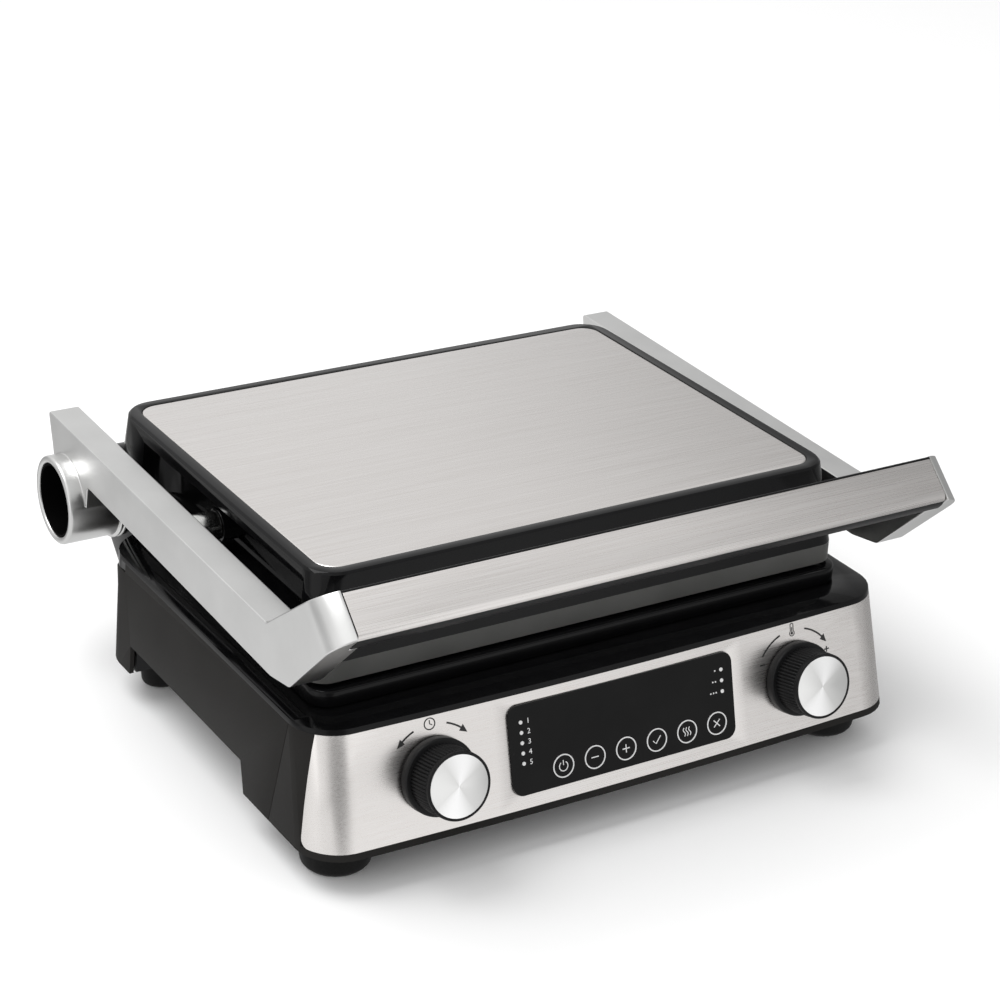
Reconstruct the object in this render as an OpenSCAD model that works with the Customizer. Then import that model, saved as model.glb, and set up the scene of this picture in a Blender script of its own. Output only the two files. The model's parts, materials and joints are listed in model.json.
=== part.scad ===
/* [Base] */
// Width of the base across its foot
base_w = 356.2; // [340:0.1:370]
// How far each side leans in from the foot to the rim
rim_draft = 3.6; // [2:0.1:6]
// Height of the deck above the table
rim_z = 84.4; // [82:0.1:86]
// Height of the skirt's lower edge, which is the height of the feet
skirt_z = 19.7; // [17:0.1:22]
// Front of the base at the rim, ahead of the origin
rim_front = 131.8; // [128:0.1:134]
// How far the front's foot stands ahead of its rim
front_rake = 15.6; // [12:0.1:20]
// Back of the base, behind the origin
base_back = 117.5; // [116:0.1:118]
// Corner radius of the base in plan
base_r = 24; // [18:0.5:30]
// How far the front bows out at its middle
bow = 3; // [1:0.1:5]
// Wall of the mouldings
wall = 2.5; // [2:0.1:3]
// Height of the lifting arches above the skirt's lower edge
arch_rise = 16.8; // [13:0.1:20]
// Front end of the arches behind the seam's foot
arch_fore = 28.5; // [22:0.5:34]
// Rear end of the arches ahead of the base's back
arch_aft = 38; // [35:0.5:43]
// Run of the slope at the front of an arch
arch_slope = 5; // [3:0.5:8]
// Length of the front frame's sides at the deck
cheek_top = 25.7; // [22:0.1:30]
// Length of the front frame's sides at the skirt
cheek_low = 56.3; // [53:0.1:62]
// Gap of the moulding seams
seam_gap = 0.4; // [0.2:0.1:0.6]
// Length of the low step at the rear of the deck
notch_l = 28; // [25:0.1:30]
// Depth of that step
notch_drop = 8; // [6:0.1:9]
// Thickness of the deck
deck_t = 2.8; // [2.4:0.1:3.2]

/* [Front panel] */
// Thickness of the steel
steel_t = 1.2; // [1:0.1:1.5]
// Lower edge of the steel above the skirt's lower edge
steel_rise = 3.6; // [3:0.1:7]
// How far the steel reaches back round the corner at its top
wrap_top = 10.3; // [8:0.1:14]
// How far the steel reaches back round the corner at its foot
wrap_low = 22.9; // [20:0.1:28]
// Control window: width
window_w = 136; // [130:0.5:142]
// Control window: height
window_h = 47.4; // [44:0.1:49]
// Control window: corner radius
window_r = 6; // [4:0.5:8]
// How far the window stands proud of the steel
window_proud = 0.5; // [0.3:0.1:0.8]
// Distance from the panel's middle up to the window's middle
window_up = 1; // [0:0.1:1.5]

/* [Keys and lights] */
// Radius of a key ring
key_r = 6.2; // [5:0.1:7]
// Line width of a key ring
key_line = 0.6; // [0.4:0.1:0.9]
// Height of a print or light on the window
mark_t = 0.3; // [0.2:0.05:0.4]
// Number of keys
key_n = 6; // [4:1:6]
// Pitch of the keys
key_pitch = 18.9; // [17:0.1:19.5]
// First key from the panel's middle
key_left = 38.2; // [36:0.1:39]
// Keys above the window's lower edge
key_rise = 10.1; // [9:0.1:13]
// Number of lights in the left column
left_n = 5; // [3:1:5]
// Number of lights in the right column
right_n = 3; // [2:1:4]
// Pitch of the left lights
left_pitch = 5.4; // [4.5:0.1:5.6]
// Pitch of the right lights
right_pitch = 5.9; // [4.5:0.1:6.2]
// Lights' distance from the panel's middle
light_x = 61; // [59:0.1:63]
// First light below the window's top
light_drop = 9; // [7:0.1:10]
// Radius of a light
light_r = 1; // [0.8:0.1:1.3]

/* [Knobs] */
// Distance of a knob's axis from the rim's end
knob_inset = 64.5; // [61:0.5:68]
// Height of a knob's face above the panel
knob_h = 24; // [20:0.5:26]
// Radius of the face
face_r = 17; // [15:0.1:18]
// Radius of the ribbed skirt
rib_r = 17.6; // [17.2:0.1:18.2]
// Radius of the flange
flange_r = 20; // [19:0.1:21]
// Thickness of the flange
flange_t = 5; // [3:0.1:6]
// Running gap under a knob
knob_gap = 1; // [0.8:0.1:1.2]
// Number of ribs on the skirt
rib_n = 60; // [40:1:72]
// Depth of a rib
rib_d = 0.7; // [0.5:0.1:1]
// Thickness of the face cap
cap_t = 1.6; // [1.2:0.1:2]
// Radius of a knob's shaft
shaft_r = 3; // [2.5:0.1:3.5]
// Running clearance of turning shafts
run_gap = 0.05; // [0.02:0.01:0.09]

/* [Plates] */
// Width of the deck beside the plinth
deck_side = 14.5; // [13:0.5:18]
// Depth of the deck ahead of the plinth
deck_fore = 24.3; // [22:0.1:27]
// Depth of the deck behind the plinth
deck_aft = 3.5; // [2.5:0.1:5]
// Height of the plinth over the deck
plinth_h = 9; // [7:0.1:10]
// Wall of the plinth
plinth_t = 4.5; // [3.5:0.1:5.5]
// Corner radius of the plinth
plinth_r = 12; // [11:0.5:16]
// Gap between the plinth and the upper plate
bite = 2.1; // [1.8:0.1:3]
// Height of the upper plate's side band
band_h = 10.6; // [9:0.1:12]
// How far the upper plate's sides lie inside the plinth's
upper_side = 1; // [0.5:0.1:3]
// How far the upper plate's front lies behind the plinth's
upper_fore = 5; // [3:0.1:7]
// How far the upper plate's back lies ahead of the plinth's
upper_aft = 0.5; // [0.3:0.1:2]
// Pitch of the grill ribs
grill_pitch = 13; // [11:0.1:13.2]
// Height of a grill rib
grill_h = 4.6; // [3:0.1:5]
// Width of a grill rib at its root
grill_root = 5.4; // [4:0.1:6]
// Width of a grill rib at its crest
grill_crest = 2.6; // [2:0.1:3.4]
// Width of a plate's rim
plate_rim = 5; // [4:0.1:6]
// Radius of the heater rods
rod_r = 3.3; // [3:0.1:3.6]
// Radius of the heaters' bends
bend_r = 22; // [18:0.5:24]
// Distance of the heaters' bends from the reflector's side
run_end = 17; // [10:1:30]
// Sheet of the reflectors
sheet_t = 0.8; // [0.6:0.1:1]

/* [Drip tray] */
// Reach of the tray into the base
tray_l = 126; // [110:1:140]
// Width of the tray
tray_w = 96; // [80:1:100]
// Depth of the tray
tray_h = 17; // [14:0.5:18]
// Wall of the tray
tray_t = 1.8; // [1.5:0.1:2.2]
// Gap round the tray
tray_gap = 0.6; // [0.4:0.1:0.8]
// Middle of the tray behind the origin
tray_y = 8; // [4:0.5:12]

/* [Hinge] */
// Hinge axis behind the base's back
hinge_out = 28; // [27:0.1:29]
// Hinge axis above the rim
hinge_rise = 15.6; // [15:0.1:16.4]
// Outer radius of a barrel
barrel_r = 25; // [24:0.1:26]
// Radius of a barrel's bore
barrel_bore = 21; // [20:0.1:22]
// How far a barrel's mouth stands out of its arm
barrel_proud = 9; // [6:0.1:12]
// How far a barrel's inner end stands inside its arm
barrel_set = 8; // [6:0.1:9]
// Radius of the collar at a barrel's inner end
collar_r = 26.6; // [26:0.1:27.5]
// Width of that collar
collar_t = 4; // [3:0.1:5]
// Thickness of the web that closes a barrel
web_t = 9; // [7:0.1:11]
// Wall of the black liner in a barrel
liner_t = 1.4; // [1:0.1:2]
// Radius of a hinge axle
axle_r = 6; // [5:0.1:7]
// Radius of the bushes' outside
bush_r = 8.5; // [8:0.1:10]
// Radius of a bracket's boss
boss_r = 24.5; // [23:0.1:25]
// Thickness of a hinge bracket
bracket_t = 29; // [26:0.5:30]
// Gap between a bracket and its barrel
bracket_gap = 1; // [0.8:0.1:1.4]
// Thickness of the friction washers
washer_t = 0.8; // [0.6:0.1:1]

/* [Handle frame] */
// Gap between the lid's border and an arm
arm_gap = 12; // [11:0.1:13]
// Thickness of an arm
arm_t = 17; // [15:0.1:18]
// Rise of an arm's top from its bend to its back end
arm_rise = 7; // [5:0.1:9]
// Reach of an arm behind the hinge axis
arm_tail = 25; // [24:0.1:26]
// Depth of an arm's top at the bend below the lid's top
arm_drop = 15.3; // [13:0.1:17]
// Bend of an arm's top ahead of the lid's front edge
bend_fore = 3; // [1:0.1:5]
// Depth of an arm at the bend
arm_deep = 26.8; // [24:0.1:28]
// Width of the arms' front caps, outside the handle's seams
cap_w = 12; // [10:0.1:14]
// Handle face's upper edge ahead of the arms' bend
face_fore = 52.6; // [50:0.1:55]
// Handle face's upper edge above the arms' bend
face_rise = 38.1; // [36:0.1:40]
// How far the handle face comes forward from its upper to its lower edge
face_run = 18.6; // [16:0.1:20]
// How far the handle face drops from its upper to its lower edge
face_drop = 17.2; // [15:0.1:19]
// Thickness of the handle's steel face
face_t = 1.2; // [1:0.1:1.5]
// Depth of the handle bar behind its face
core_t = 14; // [11:0.1:16]
// Rounding of the handle bar's back edges
core_r = 4; // [2:0.1:5]
// Set back of an arm's side behind the handle's face
cap_back = 18; // [14:0.5:22]

/* [Lid] */
// How far the lid's steel panel lies inside the upper plate's sides
lid_side = 11; // [9:0.5:13]
// How far the lid's front edge lies behind the upper plate's
lid_fore = 5; // [3:0.1:7]
// How far the lid's rear edge lies behind the upper plate's
lid_tail = 27; // [26:0.1:28]
// Corner radius of the steel panel
lid_r = 11; // [9:0.5:14]
// Width of the black border round it
border = 7; // [6:0.1:8]
// Height of the lid over the upper plate
lid_h = 45.2; // [43:0.1:47]
// Height of the border's edge
border_h = 7.5; // [6:0.1:9]
// Thickness of the steel panel
panel_t = 1.5; // [1.2:0.1:1.8]
// How far the lid's rear wall leans out below the border
rear_lean = 2; // [1:0.5:3]
// Depth of the scoops in the lid's sides, where the pivots are
scoop_in = 17; // [14:0.5:20]
// Distance of a scoop's front end from the lid's front
scoop_fore = 14; // [12:0.5:18]
// Distance of a scoop's rear end from the lid's back
scoop_aft = 36; // [34:0.5:40]
// Corner radius of a scoop
scoop_r = 14; // [10:0.5:16]
// Height of the ledge below a scoop, at its inner side
ledge_in = 8; // [6:0.5:10]
// Height of the ledge below a scoop, at its outer side
ledge_out = 4; // [3.5:0.5:6]
// Gap between the lid's rear wall and the hinge brackets
rear_clear = 5.5; // [5:0.5:7]
// Wall of the lid cover
lid_t = 3; // [2.6:0.1:3.4]
// Pivot axis behind the lid's middle
pivot_aft = 2; // [0.5:0.1:3.5]
// Pivot axis below the lid's top
pivot_drop = 23.3; // [22:0.1:24]
// Radius of the pivot pins
pin_r = 7.8; // [7:0.1:8.2]
// Radius of the pins' journals
journal_r = 5; // [4:0.1:6]
// Radius of the lid's pivot bosses
pivot_boss_r = 9; // [8.4:0.1:9.6]
// Reach of the lid's pivot bosses out of its side walls
pivot_reach = 13; // [12:0.1:14]

/* [Hidden] */
$fn = 64;

// floor pan, and the gap that pieces of one body keep
cover_t = 2.4;
cover_gap = 0.3;
// overrun of cuts, and the thin slices that hulls join
over = 1;
film = 0.05;
hair = 0.01;
bow_steps = 6;

// sizes that follow the driving ones, from the base up
rim_w = base_w - 2*rim_draft;
foot_front = rim_front + front_rake;
seam_top = rim_front - cheek_top;
seam_low = foot_front - cheek_low;
arch_z = skirt_z + arch_rise;
arch_front = seam_low - arch_fore;
arch_back = base_back - arch_aft;
notch_y = base_back - notch_l;
steel_z = skirt_z + steel_rise;
steel_end_top = rim_front - wrap_top;
steel_end_low = foot_front - wrap_low;
knob_x = rim_w/2 - knob_inset;
plinth_w = rim_w - 2*deck_side;
plinth_front = rim_front - deck_fore;
plinth_back = base_back - deck_aft;
plinth_z = rim_z + plinth_h;
upper_w = plinth_w - 2*upper_side;
upper_front = plinth_front - upper_fore;
upper_back = plinth_back - upper_aft;
band_low = plinth_z + bite;
band_top = band_low + band_h;
lid_z = band_top + lid_h;
lid_w = upper_w - 2*lid_side;
out_w = lid_w + 2*border;
out_front = upper_front - lid_fore;
out_back = upper_back + lid_tail;
lid_d = out_front + out_back - 2*border;
lid_y = (out_back - out_front)/2;
body_w = out_w - 2*scoop_in;
pivot_y = lid_y + pivot_aft;
pivot_z = lid_z - pivot_drop;
pivot_boss_x = body_w/2 + pivot_reach;
hinge_y = base_back + hinge_out;
hinge_z = rim_z + hinge_rise;
arm_in = out_w/2 + arm_gap;
arm_out = arm_in + arm_t;
arm_back = hinge_y + arm_tail;
bend_z = lid_z - arm_drop;
bend_y = out_front + bend_fore;
arm_back_z = bend_z + arm_rise;
seam_x = arm_out - cap_w;
barrel_out = arm_out + barrel_proud;
barrel_in = arm_in - barrel_set;
web_out = barrel_in + web_t;
face_top_y = bend_y + face_fore;
face_top_z = bend_z + face_rise;
face_low_y = face_top_y + face_run;
face_low_z = face_top_z - face_drop;

// colours
grey_plastic = "#3c3c3a";
black_gloss = "#0c0c0d";
black_matt = "#1d1d1e";
steel = "#cfcbc8";
cast = "#c4c4c4";
plate_grey = "#4a4a48";
bright = "#d8d8d6";
sheet = "#a9a9a6";
board_green = "#1f5a3c";
white_print = "#dcdcdc";
rubber = "#161616";
brass = "#b89a55";

// lean of the front: how far it comes forward for each unit it drops
lean = (foot_front - rim_front)/(rim_z - skirt_z);
tilt = atan(lean);
deck_low = rim_z - deck_t;
mid_z = (steel_z + deck_low)/2;
function at(z, low, high) = low + (high - low)*(z - skirt_z)/(rim_z - skirt_z);
function front_y(z) = at(z, foot_front, rim_front);
function dip(x) = bow*pow(x/(rim_w/2 - base_r), 2);
knob_sink = dip(knob_x)*cos(tilt);

// plan of the base, front edge bowed
module plan(w, front, back, r)
    offset(r) polygon(concat(
        [for (i = [-bow_steps:bow_steps]) let (s = i/bow_steps) [s*(w/2 - r), -front + r + bow*s*s]],
        [[w/2 - r, back - r], [-w/2 + r, back - r]]));

// the base's outer form between two heights, set in by a margin
module block(inset, low, high) hull($fn = 32) {
    for (z = [low, high - film]) translate([0, 0, z]) linear_extrude(film)
        plan(at(z, base_w, rim_w) - 2*inset, front_y(z) - inset, base_back - inset, base_r - inset);
}
module shell(inset, t, low, high) difference() {
    block(inset, low, high);
    block(inset + t, low - over, high + over);
}
// a side outline drawn in Y and Z, run along X
module across(w, x = 0) translate([x - w/2, 0, 0]) rotate([90, 0, 90]) linear_extrude(w) children();
// a frame on the tilted panel: X right, Y up the panel, Z out of it
module on_panel(x = 0, up = 0, out = 0) translate([0, -front_y(mid_z), mid_z]) rotate([90 - tilt, 0, 0])
    translate([x, up, out]) children();
module both(x) for (s = [-1, 1]) translate([s*x, 0, 0]) children();
module rounded(w, d, r) {
    square([w - 2*r, d], center = true);
    square([w, d - 2*r], center = true);
    for (x = [-1, 1], y = [-1, 1]) translate([x*(w/2 - r), y*(d/2 - r)]) circle(r);
}
// a plate between a front and a back, straight sides
module pad(w, front, back, r, low, high) translate([0, (back - front)/2, low])
    linear_extrude(high - low) rounded(w, front + back, r);
module tube(r, bore, l) difference() {
    cylinder(r = r, h = l);
    translate([0, 0, -over]) cylinder(r = bore, h = l + 2*over);
}
// turn a form that stands on Z to lie along X from x, away from the middle on side s
module lie(s, x) translate([s*x, 0, 0]) rotate([0, s*90, 0]) children();

// Housing
boss_screw_r = 1.6;
boss_deep = 22;
boss_out = 5;
boss_side = 10;
boss_fore = 12;
boss_aft = 14;
boss_x = base_w/2 - boss_side;
boss_ys = [-seam_low + boss_fore, base_back - boss_aft];
slot_low = arch_z + cover_t;
slot_high = slot_low + tray_h + 2*tray_gap;
inlet_w = 27;
inlet_h = 20;
inlet_x = 70;
inlet_drop = 28.4;
inlet_z = rim_z - inlet_drop;
inlet_t = 18;
bracket_x = barrel_in - bracket_gap - bracket_t/2;
bracket_screw_r = 2.2;
bracket_screw_low = 48;
bracket_screw_pitch = 14;
bracket_screw_z = [hinge_z - bracket_screw_low, hinge_z - bracket_screw_low + bracket_screw_pitch];
module side_profile() polygon([
    [base_back + over, skirt_z], [base_back + over, rim_z - notch_drop], [notch_y, rim_z - notch_drop],
    [notch_y, deck_low], [-seam_top + seam_gap/2, deck_low], [-seam_low + seam_gap/2, skirt_z],
    [-arch_front, skirt_z], [-arch_front + arch_slope, arch_z], [arch_back, arch_z],
    [arch_back, skirt_z]]);
module base_housing() color(grey_plastic) difference() {
    union() {
        intersection() {
            shell(0, wall, skirt_z, deck_low);
            across(base_w) side_profile();
        }
        for (y = boss_ys) both(boss_x) translate([0, y, skirt_z + wall])
            cylinder(r = boss_out, h = deck_low - notch_drop - wall - skirt_z);
    }
    for (y = boss_ys) both(boss_x) translate([0, y, skirt_z]) cylinder(r = boss_screw_r, h = boss_deep);
    translate([base_w/2 - 3*wall, tray_y - tray_w/2 - tray_gap, slot_low])
        cube([4*wall, tray_w + 2*tray_gap, slot_high - slot_low]);
    translate([inlet_x - inlet_w/2, base_back - 2*wall, inlet_z - inlet_h/2])
        cube([inlet_w, 3*wall, inlet_h]);
    for (z = bracket_screw_z) both(bracket_x) translate([0, base_back - 2*wall, z])
        rotate([-90, 0, 0]) cylinder(r = bracket_screw_r, h = 3*wall);
}

// Front frame
module front_profile() polygon([
    [-foot_front - over, skirt_z], [-foot_front - over, deck_low], [-seam_top - seam_gap/2, deck_low],
    [-seam_low - seam_gap/2, skirt_z]]);
module steel_zone(proud = 0) intersection() {
    shell(-proud, steel_t + proud, steel_z, deck_low + proud);
    across(base_w + 2*over) polygon([
        [-foot_front - 2*over, steel_z - over], [-foot_front - 2*over, deck_low + over],
        [-steel_end_top, deck_low + over], [-steel_end_low, steel_z - over]]);
}
rear_play = 4;
module panel_holes(grow) {
    on_panel(0, window_up, -rear_play*wall) linear_extrude(2*rear_play*wall)
        rounded(window_w + 2*grow, window_h + 2*grow, window_r + grow);
    both(knob_x) on_panel(0, 0, -rear_play*wall) cylinder(r = shaft_r + over, h = 2*rear_play*wall);
}
board_t = 1.6;
board_side = 24;
board_w = 2*(knob_x + board_side);
board_h = 50;
board_out = -13;
board_post_r = 4;
board_post_x = board_w/2 - board_post_r;
module board_posts() for (up = [-1, 1]) both(board_post_x)
    on_panel(0, up*(board_h/2 - board_post_r), board_out + board_t)
        cylinder(r = board_post_r, h = -board_out - board_t - steel_t - wall);
module front_frame() color(grey_plastic) difference() {
    intersection() {
        union() {
            board_posts();
            shell(0, wall + steel_t, skirt_z, deck_low);
            // tongue that steps behind the housing's edge
            shell(wall, wall/2, skirt_z + wall, deck_low - over);
        }
        across(base_w) front_profile();
    }
    steel_zone(over);
    panel_holes(-window_r/2);
}
module front_panel() color(steel) difference() {
    steel_zone();
    panel_holes(0);
}

// Bottom cover, a stepped pan inside the skirt
foot_set = 35.5;
foot_y = foot_front - foot_set;
foot_side = 27;
foot_x = base_w/2 - foot_side;
foot_r = 20.5;
rear_foot_set = 19;
rear_foot_y = base_back - rear_foot_set;
rear_foot_r = 12.4;
plug_r = 5;
plug_h = 3.2;
vent_n = 9;
vent_l = 46;
vent_w = 3;
vent_pitch = 9;
module cover_profile(t) polygon([
    [-foot_front, skirt_z], [-arch_front, skirt_z], [-arch_front + arch_slope, arch_z],
    [arch_back, arch_z], [arch_back, skirt_z], [base_back, skirt_z], [base_back, skirt_z + t],
    [arch_back + t, skirt_z + t], [arch_back + t, arch_z + t],
    [-arch_front + arch_slope - t, arch_z + t], [-arch_front - t, skirt_z + t],
    [-foot_front, skirt_z + t]]);
rail_h = 6;
rail_t = 2;
module bottom_cover() color(black_matt) difference() {
    union() {
        intersection() {
            across(base_w) cover_profile(cover_t);
            block(wall + steel_t + cover_gap, skirt_z - over, rim_z);
        }
        for (y = [tray_y - tray_w/2 - tray_gap - rail_t, tray_y + tray_w/2 + tray_gap])
            translate([tray_out - tray_l, y, arch_z + cover_t - film])
                cube([tray_l - 2*foot_r/3, rail_t, rail_h]);
    }
    for (i = [0:vent_n - 1]) translate([(i - (vent_n - 1)/2)*vent_pitch - vent_w/2, -vent_l, arch_z - over])
        cube([vent_w, vent_l, cover_t + 2*over]);
    for (y = boss_ys) both(boss_x) translate([0, y, skirt_z - over])
        cylinder(r = boss_screw_r + 2*cover_gap, h = cover_t + 2*over);
    both(foot_x) translate([0, -foot_y, skirt_z - over]) cylinder(r = plug_r, h = cover_t + 2*over);
    both(foot_x) translate([0, rear_foot_y, skirt_z - over]) cylinder(r = plug_r, h = cover_t + 2*over);
}
module foot(r) {
    edge = r/8;
    rotate_extrude() polygon([[0, 0], [r - 2*edge, 0], [r - edge, edge], [r, skirt_z], [0, skirt_z]]);
    cylinder(r = plug_r, h = skirt_z + plug_h);
}
module front_feet() color(rubber) both(foot_x) translate([0, -foot_y, 0]) foot(foot_r);
module rear_feet() color(rubber) both(foot_x) translate([0, rear_foot_y, 0]) foot(rear_foot_r);
screw_head_r = 3.2;
screw_head_t = 1.8;
module screw(r, l, head_r, head_t) {
    cylinder(r = r, h = l);
    translate([0, 0, -head_t]) cylinder(r = head_r, h = head_t);
}
module base_screws() color(sheet) for (y = boss_ys) both(boss_x) translate([0, y, skirt_z])
    screw(boss_screw_r, boss_deep - over, screw_head_r, screw_head_t);

// Deck
deck_lip = 3;
module top_deck() color(black_gloss) difference() {
    union() {
        block(0, deck_low, rim_z);
        // the low step at the rear corners
        difference() {
            intersection() {
                block(0, rim_z - notch_drop, deck_low + film);
                translate([-rim_w/2, notch_y, 0]) cube([rim_w, base_back, rim_z]);
            }
            translate([-plinth_w/2, -base_back, 0]) cube([plinth_w, 2*base_back - wall, rim_z]);
        }
        // lip that centres the deck in the walls
        shell(wall + steel_t + cover_gap, wall, deck_low - deck_lip, deck_low + film);
    }
    pad(plinth_w - 2*plinth_t, plinth_front - plinth_t, plinth_back - plinth_t, plinth_r - plinth_t,
        skirt_z, rim_z + over);
    for (y = boss_ys) both(boss_x) translate([0, y, skirt_z])
        cylinder(r = boss_out + cover_gap, h = deck_low - notch_drop - skirt_z + cover_gap);
}

// Plinth round the lower plate, with the ledge that the plate sits on
plate_deep = 13.4;
ledge_z = plinth_z - plate_deep;
ledge_w = 6;
plinth_leg = 12;
module plate_surround() color(black_gloss) difference() {
    union() {
        pad(plinth_w, plinth_front, plinth_back, plinth_r, rim_z, plinth_z);
        pad(plinth_w - 2*plinth_t - 2*cover_gap, plinth_front - plinth_t - cover_gap,
            plinth_back - plinth_t - cover_gap, plinth_r - plinth_t - cover_gap, ledge_z - plinth_leg, rim_z);
    }
    pad(plinth_w - 4*plinth_t, plinth_front - 2*plinth_t, plinth_back - 2*plinth_t,
        plinth_r - 2*plinth_t, ledge_z, plinth_z + over);
    pad(plinth_w - 4*plinth_t - 2*ledge_w, plinth_front - 2*plinth_t - ledge_w,
        plinth_back - 2*plinth_t - ledge_w, plinth_r - 2*plinth_t, skirt_z, plinth_z + over);
}

// Grill plates. The lower one is drawn crest up, and the upper one is turned over
lower_w = plinth_w - 4*plinth_t - 2*cover_gap;
lower_front = plinth_front - 2*plinth_t - cover_gap;
lower_back = plinth_back - 2*plinth_t - cover_gap;
lower_top = plinth_z - over;
spout_side = 38.7;
spout_x = lower_w/2 - spout_side;
spout_r = 7;
spout_bore = 4.5;
spout_z = slot_high + 2*over;
gutter = 9;
pan_r = 2;
grill_n = round((lower_w - 2*plate_rim - 2*gutter)/grill_pitch) + 1;
// ribbed floor: a pan with a rim, grill ribs and a gutter round them
module grill(w, front, back, r, low, high) {
    floor_z = high - grill_h;
    inner_r = max(r - plate_rim, pan_r);
    difference() {
        pad(w, front, back, r, low, high);
        pad(w - 2*plate_rim, front - plate_rim, back - plate_rim, inner_r, floor_z - over, high + over);
    }
    rib_front = front - plate_rim - gutter;
    rib_back = back - plate_rim - gutter;
    pad(w - 2*plate_rim - 2*gutter, rib_front, rib_back, inner_r, low, floor_z);
    for (i = [0:grill_n - 1]) translate([(i - (grill_n - 1)/2)*grill_pitch, rib_back, floor_z])
        rotate([90, 0, 0]) linear_extrude(rib_front + rib_back) polygon([
            [-grill_root/2, 0], [grill_root/2, 0], [grill_crest/2, grill_h], [-grill_crest/2, grill_h]]);
}
module lower_plate() color(plate_grey) difference() {
    union() {
        grill(lower_w, lower_front, lower_back, plinth_r - 2*plinth_t - cover_gap,
            ledge_z, lower_top);
        translate([spout_x, tray_y, spout_z]) cylinder(r = spout_r, h = ledge_z - spout_z + over);
    }
    translate([spout_x, tray_y, spout_z - over]) cylinder(r = spout_bore, h = rim_z);
}

// Heaters: a rod in three hairpins, clamped to the back of its plate
heater_fore = 2;
heater_y = lid_y - heater_fore;
dish_side = 4;
dish_fore = 11;
dish_aft = 3;
reflector_w = body_w - 2*lid_t - 2*dish_side;
reflector_front = out_front - dish_fore;
reflector_back = plinth_back - 2*plinth_t - ledge_w - dish_aft;
run_x = reflector_w/2 - bend_r - run_end;
module hairpin(y, s) translate([s*run_x, y, 0]) rotate([0, 0, s > 0 ? -90 : 90])
    rotate_extrude(angle = 180) translate([bend_r, 0]) circle(rod_r, $fn = 24);
module run(y, x0, x1) translate([x0, y, 0]) rotate([0, 90, 0]) cylinder(r = rod_r, h = x1 - x0, $fn = 24);
tail_x = run_x + bend_r;
module heater() translate([0, heater_y, 0]) {
    run(-3*bend_r, -tail_x, run_x);
    hairpin(-2*bend_r, 1);
    run(-bend_r, -run_x, run_x);
    hairpin(0, -1);
    run(bend_r, -run_x, run_x);
    hairpin(2*bend_r, 1);
    run(3*bend_r, -tail_x, run_x);
}
clamp_w = 12;
clamp_x = 50;
clamp_t = 2;
lower_rod_z = ledge_z - rod_r;
module clamps(rod_z, s) translate([0, heater_y, rod_z - s*(rod_r + clamp_t/2)])
    both(clamp_x) for (y = [-2*bend_r, 2*bend_r]) translate([-clamp_w/2, y - bend_r - rod_r, -clamp_t/2]) {
        difference() {
            cube([clamp_w, 2*bend_r + 2*rod_r, clamp_t]);
            translate([clamp_w/2, bend_r + rod_r, -over])
                cylinder(r = boss_screw_r, h = clamp_t + 2*over);
        }
    }
module lower_heater() color(sheet) translate([0, 0, lower_rod_z]) heater();
module lower_heater_clamps() color(bright) clamps(lower_rod_z, 1);
lower_dish_z = lower_rod_z - rod_r - clamp_t - sheet_t;
module dish(low, high) difference() {
    pad(reflector_w, reflector_front, reflector_back, lid_r, low, high);
    pad(reflector_w - 2*sheet_t, reflector_front - sheet_t, reflector_back - sheet_t, lid_r - sheet_t,
        low + sheet_t, high + over);
}
module lower_reflector() color(sheet) difference() {
    dish(lower_dish_z, ledge_z);
    translate([spout_x, tray_y, spout_z]) cylinder(r = spout_r + cover_gap, h = ledge_z);
}
probe_r = 4;
probe_x = -70;
module lower_probe() color(brass) translate([probe_x, heater_y, lower_dish_z + sheet_t])
    cylinder(r = probe_r, h = ledge_z - lower_dish_z - sheet_t);

// Drip tray, a drawer in the right side wall
tray_z = slot_low + tray_gap;
tray_out = at(tray_z, base_w, rim_w)/2 - cover_gap;
pull_w = 44;
pull_h = 7;
module drip_tray() color(black_matt) translate([tray_out - tray_l, tray_y - tray_w/2, tray_z]) difference() {
    cube([tray_l, tray_w, tray_h]);
    translate([tray_t, tray_t, tray_t]) cube([tray_l - 3*tray_t, tray_w - 2*tray_t, tray_h]);
    translate([tray_l - tray_t, tray_w/2 - pull_w/2, -over]) cube([2*tray_t, pull_w, pull_h]);
}

// Control window, its print and lights
window_t = steel_t + window_proud;
module control_window() color(black_gloss) on_panel(0, window_up, window_proud - window_t)
    linear_extrude(window_t) rounded(window_w - 2*hair, window_h - 2*hair, window_r - hair);
window_low = window_up - window_h/2;
window_high = window_up + window_h/2;
module key_rings() color(white_print) for (i = [0:key_n - 1])
    on_panel(-key_left + i*key_pitch, window_low + key_rise, window_proud) tube(key_r, key_r - key_line, mark_t);
module indicator_lights() color(white_print) {
    for (i = [0:left_n - 1]) on_panel(-light_x, window_high - light_drop - i*left_pitch, window_proud)
        cylinder(r = light_r, h = mark_t);
    for (i = [0:right_n - 1]) on_panel(light_x, window_high - light_drop - i*right_pitch, window_proud)
        cylinder(r = light_r, h = mark_t);
}
display_w = 56;
display_h = 18;
display_up = 8;
display_t = -board_out - board_t - steel_t;
module display_module() color(black_matt) on_panel(-display_w/2, display_up - display_h/2, board_out + board_t)
    cube([display_w, display_h, display_t]);
module control_board() color(board_green) difference() {
    on_panel(-board_w/2, -board_h/2, board_out) cube([board_w, board_h, board_t]);
    both(knob_x) on_panel(0, 0, board_out - over) cylinder(r = shaft_r + over, h = board_t + 2*over);
}

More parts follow.
